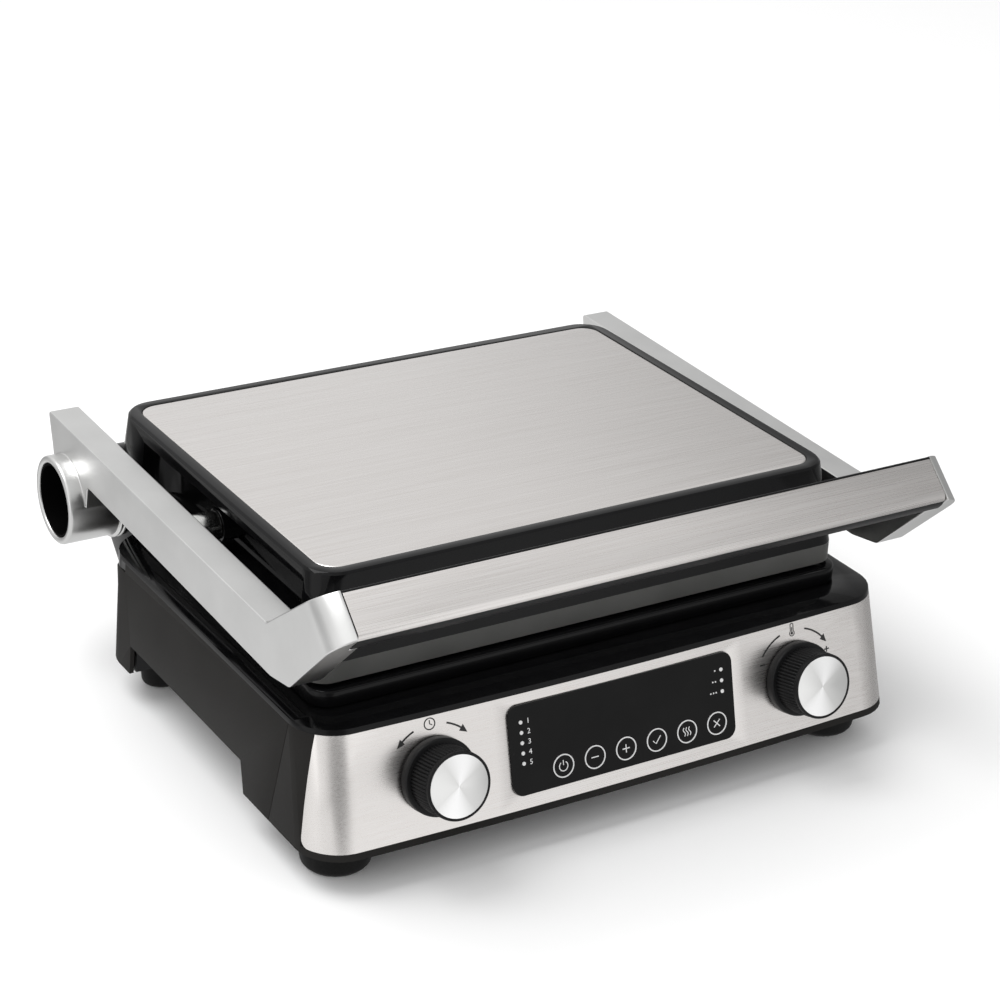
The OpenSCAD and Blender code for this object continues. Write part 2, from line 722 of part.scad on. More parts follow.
// Knobs, each on an encoder's shaft
encoder_w = 13;
encoder_t = -board_out - board_t - steel_t - wall - knob_sink - cover_gap;
shaft_in = 4.5;
shaft_up = 14;
encoder_out = board_out + board_t;
module encoder() color(sheet) on_panel(0, 0, encoder_out) difference() {
    union() {
        translate([-encoder_w/2, -encoder_w/2, 0]) cube([encoder_w, encoder_w, encoder_t]);
        cylinder(r = shaft_r + over, h = encoder_t);
    }
    translate([0, 0, encoder_t - shaft_in]) cylinder(r = shaft_r + run_gap, h = shaft_in + over);
}
module shaft() color(bright) on_panel(0, 0, encoder_out + encoder_t - shaft_in + run_gap)
    cylinder(r = shaft_r, h = shaft_up - knob_sink + knob_h/2);
shaft_top = encoder_out + encoder_t - shaft_in + run_gap + shaft_up - knob_sink + knob_h/2;
knob_low = knob_gap - knob_sink;
knob_top = knob_h - knob_sink;
module knob() color(black_matt) on_panel() difference() {
    union() {
        translate([0, 0, knob_low]) rotate_extrude($fn = 96) polygon([
            [0, 0], [flange_r - over, 0], [flange_r, over], [flange_r, flange_t - over],
            [flange_r - over, flange_t], [0, flange_t]]);
        translate([0, 0, knob_low + over]) cylinder(r = rib_r - rib_d, h = knob_top - knob_low - over);
        for (i = [0:rib_n - 1]) rotate([0, 0, (i*360 + 180)/rib_n])
            translate([rib_r - 2*rib_d, -rib_d/2, knob_low + flange_t - over])
                cube([2*rib_d, rib_d, knob_top - knob_low - flange_t - rib_d + over]);
    }
    translate([0, 0, knob_top - cap_t]) cylinder(r = face_r - rib_d, h = cap_t + over);
    translate([0, 0, knob_low - over]) cylinder(r = shaft_r, h = shaft_top - knob_low + over);
}
module knob_cap() color(cast) on_panel(0, 0, knob_top - cap_t) rotate_extrude($fn = 96) polygon([
    [0, 0], [face_r - rib_d, 0], [face_r - rib_d, cap_t - rib_d/2], [face_r - 2*rib_d, cap_t], [0, cap_t]]);
module left_side() translate([-knob_x, 0, 0]) children();
module right_side() translate([knob_x, 0, 0]) children();
module time_encoder() left_side() encoder();
module temp_encoder() right_side() encoder();
module time_knob() left_side() knob();
module temp_knob() right_side() knob();
module time_knob_cap() left_side() knob_cap();
module temp_knob_cap() right_side() knob_cap();
module time_shaft() left_side() shaft();
module temp_shaft() right_side() shaft();

// Power electronics and inlet
power_w = 150;
power_d = 34;
power_fore = 33.5;
power_y = -arch_front - power_fore;
power_x = -20;
standoff_h = 5;
standoff_r = 3;
power_z = skirt_z + cover_t + standoff_h;
relay = 16;
relay_l = 22.4;
module power_board() color(board_green) translate([power_x - power_w/2, power_y - power_d/2, power_z]) {
    cube([power_w, power_d, board_t]);
    for (i = [0:2]) translate([relay + i*2*relay, power_d/2 - relay/2, board_t]) cube([relay_l, relay, relay]);
}
module board_standoffs() color(brass) for (x = [-1, 1], y = [-1, 1])
    translate([power_x + x*(power_w/2 - standoff_r), power_y + y*(power_d/2 - standoff_r), skirt_z + cover_t])
        cylinder(r = standoff_r, h = standoff_h);
terminal_w = 40;
terminal_d = 12;
terminal_h = 14;
module terminal_block() color(white_print) translate([-inlet_x - terminal_w/2, base_back - wall - terminal_d - 2*cover_gap,
    skirt_z + cover_t]) cube([terminal_w, terminal_d, terminal_h]);
blade_w = 2;
blade_h = 5;
blade_gap = 7;
blade_l = 9;
module power_inlet() color(black_matt) translate([inlet_x, base_back - inlet_t + over, inlet_z]) {
    difference() {
        union() {
            translate([-inlet_w/2 + hair, 0, -inlet_h/2 + hair])
                cube([inlet_w - 2*hair, inlet_t - over, inlet_h - 2*hair]);
            translate([-inlet_w/2 - wall, inlet_t - over, -inlet_h/2 - wall])
                cube([inlet_w + 2*wall, over, inlet_h + 2*wall]);
        }
        translate([-inlet_w/2 + wall, wall, -inlet_h/2 + wall])
            cube([inlet_w - 2*wall, inlet_t, inlet_h - 2*wall]);
    }
    for (i = [-1, 0, 1]) translate([i*blade_gap - blade_w/2, wall - hair, -blade_h/2 + (i == 0 ? blade_h/2 : -blade_h/4)])
        cube([blade_w, blade_l, blade_h]);
}

// Hinge brackets: a boss on the axis and a foot on the rear wall
bracket_deep = 9;
bracket_drop = 58;
bracket_top = 8;
module bracket_profile() {
    translate([hinge_y, hinge_z]) circle(boss_r);
    polygon([
        [base_back, hinge_z - bracket_drop], [base_back + 2*wall, hinge_z - bracket_drop],
        [hinge_y + boss_r*sin(40), hinge_z - boss_r*cos(40)],
        [hinge_y - boss_r*sin(60), hinge_z + boss_r*cos(60)], [base_back, hinge_z - bracket_top]]);
}
module bracket(s) color(black_gloss) difference() {
    across(bracket_t, s*bracket_x) bracket_profile();
    translate([0, hinge_y, hinge_z]) lie(s, bracket_x - bracket_t) cylinder(r = bush_r, h = 2*bracket_t);
    for (z = bracket_screw_z) translate([s*bracket_x, base_back - over, z])
        rotate([-90, 0, 0]) cylinder(r = boss_screw_r, h = bracket_deep + over);
}
module hinge_bracket_left() bracket(-1);
module hinge_bracket_right() bracket(1);
module bracket_screws() color(sheet) for (z = bracket_screw_z) both(bracket_x)
    translate([0, base_back - wall, z]) rotate([-90, 0, 0])
        screw(boss_screw_r, wall + bracket_deep, screw_head_r, screw_head_t);
bush_l = bracket_t;
module hinge_bushes() color(brass) for (s = [-1, 1]) translate([0, hinge_y, hinge_z])
    lie(s, bracket_x - bush_l/2) tube(bush_r, axle_r + run_gap, bush_l);
// Axle: a journal in the bush and a seat in the barrel's web
axle_head_r = 11;
axle_head_t = 3;
module hinge_axles() color(bright) for (s = [-1, 1]) translate([0, hinge_y, hinge_z])
    lie(s, bracket_x - bracket_t/2) {
        cylinder(r = axle_r, h = web_out - bracket_x + bracket_t/2);
        translate([0, 0, web_out - bracket_x + bracket_t/2]) cylinder(r = axle_head_r, h = axle_head_t);
    }
module hinge_washers() color(sheet) for (s = [-1, 1]) translate([0, hinge_y, hinge_z])
    lie(s, barrel_in - washer_t - (bracket_gap - washer_t)/2) tube(2*bush_r, axle_r + run_gap, washer_t);

// Arms. The profile's front end follows the handle's face
face_h = sqrt(face_run*face_run + face_drop*face_drop);
face_a = atan2(face_drop, face_run);
// a frame on the handle's face: X right, Y up the face, Z out of it
module on_handle(x = 0, up = 0, out = 0)
    translate([0, -(face_top_y + face_low_y)/2, (face_top_z + face_low_z)/2])
    rotate([face_a, 0, 0]) translate([x, up, out]) children();
pin_in = 9;
handle_screw_r = 2;
screw_in = 7;
chin_fore = 26;
chin_drop = 22;
chin_y = bend_y + chin_fore;
chin_z = bend_z - chin_drop;
beam_low_z = bend_z - arm_deep;
crotch_fore = 42;
crotch_rise = 17;
beam_back_y = hinge_y - crotch_fore;
beam_back_z = hinge_z + crotch_rise;
module beam_profile() polygon([
    [arm_back, hinge_z + barrel_r/2], [arm_back, arm_back_z - over], [arm_back - over, arm_back_z],
    [-bend_y, bend_z], [-bend_y - arm_deep, bend_z + 2*over], [-chin_y, chin_z], [-chin_y + 2*over, chin_z - 2*over],
    [-bend_y - 4*over, beam_low_z], [beam_back_y, beam_back_z], [hinge_y, hinge_z]]);
// the bent front end, rounded from its side to its face in slices
cap_steps = 5;
module cap_slice(x, back) translate([x, 0, 0]) rotate([90, 0, 90]) linear_extrude(film) polygon([
    [-face_top_y + back*sin(face_a), face_top_z - back*cos(face_a)],
    [-face_low_y + back*sin(face_a), face_low_z - back*cos(face_a)],
    [-chin_y, chin_z], [-chin_y + 3*over, chin_z - 3*over], [-bend_y - 3*over, beam_low_z], [-bend_y, bend_z]]);
module arm(s) color(cast) difference() {
    union() {
        across(arm_t, s*(arm_out - arm_t/2)) beam_profile();
        mirror([s < 0 ? 1 : 0, 0, 0]) hull() {
            cap_slice(arm_in, 0);
            for (i = [0:cap_steps])
                cap_slice(seam_x + (cap_w - film)*sin(90*i/cap_steps), cap_back*(1 - cos(90*i/cap_steps)));
        }
        translate([0, hinge_y, hinge_z]) lie(s, barrel_in) {
            cylinder(r = barrel_r, h = barrel_out - barrel_in);
            cylinder(r = collar_r, h = collar_t);
        }
    }
    translate([0, hinge_y, hinge_z]) lie(s, web_out) cylinder(r = barrel_bore, h = barrel_out);
    translate([0, hinge_y, hinge_z]) lie(s, barrel_in - over) cylinder(r = axle_r, h = web_t + 2*over);
    // seat of the handle bar
    mirror([s < 0 ? 1 : 0, 0, 0]) translate([seam_x - 2*arm_t, 0, 0])
        rotate([90, 0, 90]) linear_extrude(2*arm_t) handle_outline(-over);
    translate([0, pivot_y, pivot_z]) lie(s, arm_in - over) cylinder(r = journal_r, h = pin_in + over);
    mirror([s < 0 ? 1 : 0, 0, 0]) on_handle(seam_x - over, 0, -core_t/2) rotate([0, 90, 0])
        cylinder(r = handle_screw_r, h = screw_in + over);
}
module left_arm() arm(-1);
module right_arm() arm(1);
// Handle bar: outline in Y and Z of face and core together
module handle_outline(t) translate([-(face_top_y + face_low_y)/2, (face_top_z + face_low_z)/2])
    rotate(face_a) translate([-face_h/2, -core_t]) {
        translate([0, core_r]) square([face_h, core_t - core_r - t]);
        translate([core_r, 0]) square([face_h - 2*core_r, core_t - t]);
        for (x = [core_r, face_h - core_r]) translate([x, core_r]) circle(core_r);
    }
module handle_core() color(black_matt) difference() {
    across(2*seam_x) handle_outline(face_t);
    for (s = [-1, 1]) on_handle(0, 0, -core_t/2) lie(s, seam_x - screw_in)
        cylinder(r = handle_screw_r, h = screw_in + over);
}
face_edge = 0.8;
module handle_face() color(steel) on_handle(-seam_x + face_edge/2, -face_h/2 + face_edge, -face_t)
    cube([2*seam_x - face_edge, face_h - 2*face_edge, face_t]);
module handle_screws() color(sheet) for (s = [-1, 1]) on_handle(0, 0, -core_t/2) lie(s, seam_x - screw_in)
    cylinder(r = handle_screw_r, h = 2*screw_in);
module barrel_liners() color(black_matt) for (s = [-1, 1]) translate([0, hinge_y, hinge_z])
    lie(s, web_out) difference() {
        cylinder(r = barrel_bore, h = barrel_out - web_out - over);
        translate([0, 0, liner_t + axle_head_t]) cylinder(r = barrel_bore - liner_t, h = barrel_out);
        translate([0, 0, -over]) cylinder(r = axle_head_r, h = axle_head_t + over);
    }
journal_l = 13;
module pivot_pins() color(bright) for (s = [-1, 1]) translate([0, pivot_y, pivot_z])
    lie(s, pivot_boss_x + run_gap*6) {
        cylinder(r = pin_r, h = arm_in - pivot_boss_x - run_gap*6);
        cylinder(r = journal_r, h = arm_in - pivot_boss_x - run_gap*6 + pin_in);
        translate([0, 0, -journal_l]) cylinder(r = journal_r, h = journal_l);
    }

// Lid cover: border, leaning walls, a scoop in each side and a hollow behind for the hinges
edge_soft = 1.2;
border_r = lid_r + border - over;
plate_r = plinth_r - upper_side;
module slice(w, front, back, r, z) pad(w, front, back, r, z, z + film);
module scoop(grow) for (s = [-1, 1]) intersection() {
    translate([s*(body_w/2 + upper_w/2 - grow), 0, 0])
        pad(upper_w, out_front - scoop_fore + grow, out_back - scoop_aft + grow, scoop_r + grow, band_top, lid_z);
    scale([s, 1, 1]) translate([0, out_back, 0]) rotate([90, 0, 0]) linear_extrude(out_front + out_back)
        polygon([
            [body_w/2 - grow, band_top + ledge_in - grow], [upper_w/2, band_top + ledge_out - grow],
            [upper_w, band_top + ledge_out - grow], [upper_w, lid_z - (grow > 0 ? 0 : border_h)],
            [body_w/2 - grow, lid_z - (grow > 0 ? 0 : border_h)]]);
}
module lid_form(inset) {
    in = 2*inset;
    difference() {
        hull($fn = 32) {
            slice(out_w - 2*edge_soft - in, out_front - edge_soft - inset, out_back - edge_soft - inset,
                border_r - edge_soft - inset, lid_z - film - inset);
            slice(out_w - in, out_front - inset, out_back - inset, border_r - inset, lid_z - edge_soft - inset);
            slice(out_w - in, out_front - inset, out_back - inset, border_r - inset, lid_z - border_h);
            slice(upper_w - in, upper_front - inset, out_back + rear_lean - inset, plate_r - inset,
                band_top - (inset > 0 ? over : 0));
        }
        across(2*base_w) translate([hinge_y, hinge_z]) circle(boss_r + rear_clear + inset);
        scoop(inset);
    }
}
lid_boss_side = 21;
lid_boss_x = reflector_w/2 - lid_boss_side;
lid_screw_l = 16;
pivot_bush_r = 6.6;
lid_boss_y = 70;
lid_boss_r = 5;
module lid_cover() color(black_gloss) difference() {
    union() {
        difference() {
            lid_form(0);
            lid_form(lid_t);
        }
        for (s = [-1, 1]) translate([0, pivot_y, pivot_z])
            lie(s, body_w/2 - 2*lid_t) cylinder(r = pivot_boss_r, h = pivot_boss_x - body_w/2 + 2*lid_t);
        for (y = [-1, 1]) both(lid_boss_x) translate([0, heater_y + y*lid_boss_y, upper_dish_z + sheet_t])
            cylinder(r = lid_boss_r, h = lid_z - lid_t - upper_dish_z - sheet_t);
    }
    translate([0, lid_y, lid_z - panel_t]) linear_extrude(panel_t + over)
        rounded(lid_w + 2*hair, lid_d + 2*hair, lid_r + hair);
    for (s = [-1, 1]) translate([0, pivot_y, pivot_z]) lie(s, body_w/2 - 3*lid_t)
        cylinder(r = pivot_bush_r, h = pivot_boss_x);
    for (y = [-1, 1]) both(lid_boss_x) translate([0, heater_y + y*lid_boss_y, upper_dish_z])
        cylinder(r = boss_screw_r, h = lid_screw_l);
}
module lid_panel() color(steel) translate([0, lid_y, lid_z - panel_t]) hull($fn = 32) {
    linear_extrude(panel_t/2) rounded(lid_w, lid_d, lid_r);
    linear_extrude(panel_t) rounded(lid_w - panel_t, lid_d - panel_t, lid_r - panel_t/2);
}
module pivot_bushes() color(brass) for (s = [-1, 1]) translate([0, pivot_y, pivot_z])
    lie(s, pivot_boss_x - journal_l) tube(pivot_bush_r, journal_r + run_gap, journal_l);
// Upper plate, ribs down
module upper_plate() color(plate_grey) translate([0, 0, band_low + band_top]) mirror([0, 0, 1])
    grill(upper_w, upper_front, upper_back, plate_r, band_low, band_top);
upper_rod_z = band_top + rod_r;
upper_dish_z = upper_rod_z + rod_r + clamp_t;
module upper_heater() color(sheet) translate([0, 0, upper_rod_z]) heater();
module upper_heater_clamps() color(bright) clamps(upper_rod_z, -1);
module upper_reflector() color(sheet) difference() {
    translate([0, 0, band_top + upper_dish_z + sheet_t]) mirror([0, 0, 1]) dish(band_top, upper_dish_z + sheet_t);
    for (y = [-1, 1]) both(lid_boss_x) translate([0, heater_y + y*lid_boss_y, upper_dish_z - over])
        cylinder(r = boss_screw_r + cover_gap, h = 2*over + sheet_t);
}
fuse_r = 5;
fuse_h = 8;
module upper_fuse() color(bright) translate([-probe_x, heater_y, upper_dish_z + sheet_t])
    cylinder(r = fuse_r, h = fuse_h);
module lid_screws() color(sheet) for (y = [-1, 1]) both(lid_boss_x)
    translate([0, heater_y + y*lid_boss_y, upper_dish_z])
        screw(boss_screw_r, lid_screw_l - over, screw_head_r, screw_head_t);

base_housing();
front_frame();
front_panel();
bottom_cover();
top_deck();
plate_surround();
lower_plate();
lower_heater();
lower_reflector();
lower_heater_clamps();
lower_probe();
drip_tray();
control_window();
key_rings();
indicator_lights();
control_board();
display_module();
time_encoder();
temp_encoder();
power_board();
board_standoffs();
terminal_block();
power_inlet();
front_feet();
rear_feet();
hinge_bracket_left();
hinge_bracket_right();
hinge_bushes();
base_screws();
bracket_screws();
time_knob();
time_knob_cap();
time_shaft();
temp_knob();
temp_knob_cap();
temp_shaft();
left_arm();
right_arm();
barrel_liners();
hinge_axles();
hinge_washers();
handle_core();
handle_face();
handle_screws();
pivot_pins();
lid_cover();
lid_panel();
pivot_bushes();
upper_plate();
upper_heater();
upper_reflector();
upper_heater_clamps();
upper_fuse();
lid_screws();
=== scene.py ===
import json
import math

import bmesh
import bpy
from mathutils import Matrix, Vector


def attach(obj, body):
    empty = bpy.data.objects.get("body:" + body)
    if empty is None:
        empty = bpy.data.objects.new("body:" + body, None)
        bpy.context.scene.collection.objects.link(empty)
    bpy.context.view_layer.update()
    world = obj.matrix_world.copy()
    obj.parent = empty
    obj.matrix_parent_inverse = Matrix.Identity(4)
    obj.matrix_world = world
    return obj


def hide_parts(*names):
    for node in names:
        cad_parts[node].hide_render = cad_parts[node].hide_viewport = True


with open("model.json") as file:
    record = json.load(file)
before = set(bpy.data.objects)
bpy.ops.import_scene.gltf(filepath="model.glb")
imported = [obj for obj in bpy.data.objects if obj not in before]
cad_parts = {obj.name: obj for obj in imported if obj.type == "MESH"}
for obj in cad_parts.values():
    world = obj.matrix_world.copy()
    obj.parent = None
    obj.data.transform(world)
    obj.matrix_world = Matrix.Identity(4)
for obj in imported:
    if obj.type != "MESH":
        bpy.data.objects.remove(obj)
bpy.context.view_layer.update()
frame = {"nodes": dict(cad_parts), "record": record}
nodes = frame["nodes"]
mm = 0.001
print("frame loaded:", len(nodes), "nodes")

# camera first: the photograph's own viewpoint
photoCamera = {
    "place": (-0.6728, -1.0919, 0.7100),
    "azimuth": -31.89,  # degrees round the object, 0 looks along +Y
    "elevation": 24.66,
    "roll": 2.33,
    "lens": 93.98,
    "sensor": 36,
    "farthest": 50,
}


def placeCamera(spec):
    a, e, r = (math.radians(spec[k]) for k in ("azimuth", "elevation", "roll"))
    back = Vector((math.sin(a) * math.cos(e), -math.cos(a) * math.cos(e), math.sin(e)))
    level = Vector((math.cos(a), math.sin(a), 0))
    rise = back.cross(level)
    right = level * math.cos(r) + rise * math.sin(r)
    up = rise * math.cos(r) - level * math.sin(r)
    bpy.ops.object.camera_add(location=spec["place"])
    camera = bpy.context.object
    camera.rotation_euler = Matrix((right, up, back)).transposed().to_euler()
    camera.data.lens = spec["lens"]
    camera.data.sensor_width = spec["sensor"]
    camera.data.clip_end = spec["farthest"]
    bpy.context.scene.camera = camera


placeCamera(photoCamera)


# colours and nodes
def linear(hexColour):
    parts = [int(hexColour[i:i + 2], 16) / 255 for i in (1, 3, 5)]
    return [p / 12.92 if p <= 0.04045 else ((p + 0.055) / 1.055) ** 2.4 for p in parts] + [1]


def addNode(tree, kind, settings=None, links=None):
    node = tree.nodes.new(kind)
    for name, value in (settings or {}).items():
        if isinstance(name, str) and hasattr(node, name):
            setattr(node, name, value)
        else:
            node.inputs[name].default_value = value
    for socket, source in (links or {}).items():
        tree.links.new(source, node.inputs[socket])
    return node


def newMaterial(name):
    material = bpy.data.materials.new(name)
    material.use_nodes = True
    material.node_tree.nodes.clear()
    return material, material.node_tree


def finishMaterial(tree, settings, links):
    shader = addNode(tree, "ShaderNodeBsdfPrincipled", settings, links)
    addNode(tree, "ShaderNodeOutputMaterial", None, {"Surface": shader.outputs["BSDF"]})


def grain(tree, sizes, detail=3, rough=0.55):
    # noise whose grains measure about sizes, in mm along X, Y and Z
    coords = addNode(tree, "ShaderNodeTexCoord")
    scaled = addNode(tree, "ShaderNodeMapping", {"Scale": [1 / (s * mm) for s in sizes]},
                     {"Vector": coords.outputs["Object"]})
    return addNode(tree, "ShaderNodeTexNoise", {"Scale": 1, "Detail": detail, "Roughness": rough},
                   {"Vector": scaled.outputs["Vector"]})


def tint(tree, source, dark, light, low=0.3, high=0.7):
    ramp = addNode(tree, "ShaderNodeValToRGB", None, {"Fac": source})
    ramp.color_ramp.elements[0].position = low
    ramp.color_ramp.elements[1].position = high
    ramp.color_ramp.elements[0].color = linear(dark)
    ramp.color_ramp.elements[1].color = linear(light)
    return ramp


def spread(tree, source, low, high, fromLow=0.3, fromHigh=0.7):
    return addNode(tree, "ShaderNodeMapRange",
                   {"From Min": fromLow, "From Max": fromHigh, "To Min": low, "To Max": high},
                   {"Value": source})


def relief(tree, source, height, strength=1.0):
    # height in mm
    return addNode(tree, "ShaderNodeBump", {"Distance": height * mm, "Strength": strength},
                   {"Height": source})


def brushedSteel():
    # AISI 304 sheet, belt brushed along X: long hair lines that stretch reflections across them.
    # The lines are 0.1 mm wide on the real sheet and drawn 0.5 mm wide to show.
    material, tree = newMaterial("brushedStainlessSteel")
    hair = grain(tree, (60, 0.5, 0.5), 4, 0.65)
    colour = tint(tree, hair.outputs["Fac"], "#d7d3d0", "#e5e2e0")
    rough = spread(tree, hair.outputs["Fac"], 0.25, 0.32)
    bump = relief(tree, hair.outputs["Fac"], 0.012, 0.3)
    tangent = addNode(tree, "ShaderNodeTangent", {"direction_type": "RADIAL", "axis": "X"})
    finishMaterial(tree, {"Metallic": 1, "Anisotropic": 0.6, "Anisotropic Rotation": 0.25},
                   {"Base Color": colour.outputs["Color"], "Roughness": rough.outputs["Result"],
                    "Normal": bump.outputs["Normal"], "Tangent": tangent.outputs["Tangent"]})
    return material


def castAluminium():
    # die-cast aluminium, bead blasted and clear anodised: satin, nearly colourless, faintly cloudy
    material, tree = newMaterial("blastedCastAluminium")
    bead = grain(tree, (0.4, 0.4, 0.4), 2)
    cloud = grain(tree, (35, 35, 35), 3)
    colour = tint(tree, cloud.outputs["Fac"], "#cececd", "#d7d7d6")
    rough = spread(tree, cloud.outputs["Fac"], 0.28, 0.34)
    bump = relief(tree, bead.outputs["Fac"], 0.03, 0.35)
    finishMaterial(tree, {"Metallic": 1},
                   {"Base Color": colour.outputs["Color"], "Roughness": rough.outputs["Result"],
                    "Normal": bump.outputs["Normal"]})
    return material


def cutEdgeWithPaintedHighlight(name):
    # bare metal where a cutter has broken the edge: smooth, tool marks about 2 mm apart; its colour
    # is kept near white as a painted highlight along the edge
    material, tree = newMaterial(name)
    mark = grain(tree, (2, 2, 2), 2)
    colour = tint(tree, mark.outputs["Fac"], "#f2f2f1", "#fbfbfa")
    finishMaterial(tree, {"Metallic": 1, "Roughness": 0.2}, {"Base Color": colour.outputs["Color"]})
    return material


def glossBlack():
    # piano-black ABS, polished mould: deep black, sharp weak reflections, a trace of orange peel
    material, tree = newMaterial("polishedBlackAbs")
    peel = grain(tree, (9, 9, 9), 1)
    colour = tint(tree, peel.outputs["Fac"], "#0a0a0b", "#0d0d0e")
    rough = spread(tree, peel.outputs["Fac"], 0.07, 0.11)
    bump = relief(tree, peel.outputs["Fac"], 0.03, 0.25)
    finishMaterial(tree, {"Specular IOR Level": 0.16},
                   {"Base Color": colour.outputs["Color"], "Roughness": rough.outputs["Result"],
                    "Normal": bump.outputs["Normal"]})
    return material


def texturedPlastic(name, dark, light, rough, spark, shine=0.2):
    # moulded plastic from a spark-eroded tool: an even fine pebble that scatters light,
    # about 0.1 mm on the real part and drawn 0.5 mm or more to show
    material, tree = newMaterial(name)
    pebble = grain(tree, (spark, spark, spark), 2)
    cloud = grain(tree, (60, 60, 60), 2)
    colour = tint(tree, cloud.outputs["Fac"], dark, light)
    roughness = spread(tree, pebble.outputs["Fac"], rough - 0.05, rough + 0.05)
    bump = relief(tree, pebble.outputs["Fac"], 0.06, 0.4)
    finishMaterial(tree, {"Specular IOR Level": shine},
                   {"Base Color": colour.outputs["Color"], "Roughness": roughness.outputs["Result"],
                    "Normal": bump.outputs["Normal"]})
    return material


def windowAcrylic():
    # black-backed acrylic sheet with a hard coat: charcoal, evenly glossy
    material, tree = newMaterial("blackBackedAcrylic")
    haze = grain(tree, (25, 25, 25), 2)
    colour = tint(tree, haze.outputs["Fac"], "#111111", "#151515")
    finishMaterial(tree, {"Roughness": 0.16, "Specular IOR Level": 0.1},
                   {"Base Color": colour.outputs["Color"]})
    return material


def plainPrint(name, dark, light, paintedGlow=0.0):
    # screen-printed ink: flat, with the thin spots of a squeegee pass; any glow is painted light,
    # the ink is no lamp
    material, tree = newMaterial(name)
    pinhole = grain(tree, (0.6, 0.6, 0.6), 2)
    colour = tint(tree, pinhole.outputs["Fac"], dark, light)
    finishMaterial(tree, {"Roughness": 0.55, "Emission Color": linear(light),
                          "Emission Strength": paintedGlow}, {"Base Color": colour.outputs["Color"]})
    return material


def siliconeRubber():
    # moulded silicone rubber: soft black, slightly dusty
    material, tree = newMaterial("mouldedSiliconeRubber")
    dust = grain(tree, (1.5, 1.5, 1.5), 3)
    colour = tint(tree, dust.outputs["Fac"], "#0b0b0b", "#121212")
    bump = relief(tree, dust.outputs["Fac"], 0.05, 0.3)
    finishMaterial(tree, {"Roughness": 0.62, "Specular IOR Level": 0.1},
                   {"Base Color": colour.outputs["Color"], "Normal": bump.outputs["Normal"]})
    return material


def nonStickCoating():
    # PTFE sprayed on cast aluminium and baked: dark grey with fine light specks, waxy sheen
    material, tree = newMaterial("bakedNonStickCoating")
    speck = grain(tree, (0.8, 0.8, 0.8), 2, 0.7)
    cloud = grain(tree, (30, 30, 30), 2)
    base = tint(tree, cloud.outputs["Fac"], "#454543", "#4e4e4c")
    fleck = tint(tree, speck.outputs["Fac"], "#000000", "#232322", 0.66, 0.74)
    colour = addNode(tree, "ShaderNodeMixRGB", {"blend_type": "ADD", "Fac": 1},
                     {"Color1": base.outputs["Color"], "Color2": fleck.outputs["Color"]})
    bump = relief(tree, speck.outputs["Fac"], 0.05, 0.4)
    finishMaterial(tree, {"Roughness": 0.42, "Specular IOR Level": 0.4},
                   {"Base Color": colour.outputs["Color"], "Normal": bump.outputs["Normal"]})
    return material


def sheetSteel():
    # aluminised steel sheet: grey, with rolling marks and dull spangle
    material, tree = newMaterial("aluminisedSteelSheet")
    roll = grain(tree, (20, 1.2, 1.2), 3)
    colour = tint(tree, roll.outputs["Fac"], "#9c9c99", "#b5b5b2")
    rough = spread(tree, roll.outputs["Fac"], 0.38, 0.5)
    finishMaterial(tree, {"Metallic": 1},
                   {"Base Color": colour.outputs["Color"], "Roughness": rough.outputs["Result"]})
    return material


def platedSteel():
    # turned steel, nickel plated: bright with faint lathe rings
    material, tree = newMaterial("nickelPlatedSteel")
    lathe = grain(tree, (0.5, 6, 6), 2)
    colour = tint(tree, lathe.outputs["Fac"], "#c9c9c7", "#dadad8")
    rough = spread(tree, lathe.outputs["Fac"], 0.16, 0.26)
    finishMaterial(tree, {"Metallic": 1},
                   {"Base Color": colour.outputs["Color"], "Roughness": rough.outputs["Result"]})
    return material


def turnedBrass():
    # free-cutting brass, turned: yellow with a light tarnish
    material, tree = newMaterial("turnedBrass")
    tarnish = grain(tree, (5, 5, 5), 3)
    colour = tint(tree, tarnish.outputs["Fac"], "#a98a45", "#c4a75f")
    rough = spread(tree, tarnish.outputs["Fac"], 0.25, 0.42)
    finishMaterial(tree, {"Metallic": 1},
                   {"Base Color": colour.outputs["Color"], "Roughness": rough.outputs["Result"]})
    return material


def solderMask():
    # glass-epoxy board under green solder mask: satin green, tracks just showing
    material, tree = newMaterial("greenSolderMask")
    track = grain(tree, (12, 1.5, 3), 1)
    colour = tint(tree, track.outputs["Fac"], "#17492f", "#22633f", 0.48, 0.52)
    finishMaterial(tree, {"Roughness": 0.35, "Coat Weight": 0.3},
                   {"Base Color": colour.outputs["Color"]})
    return material


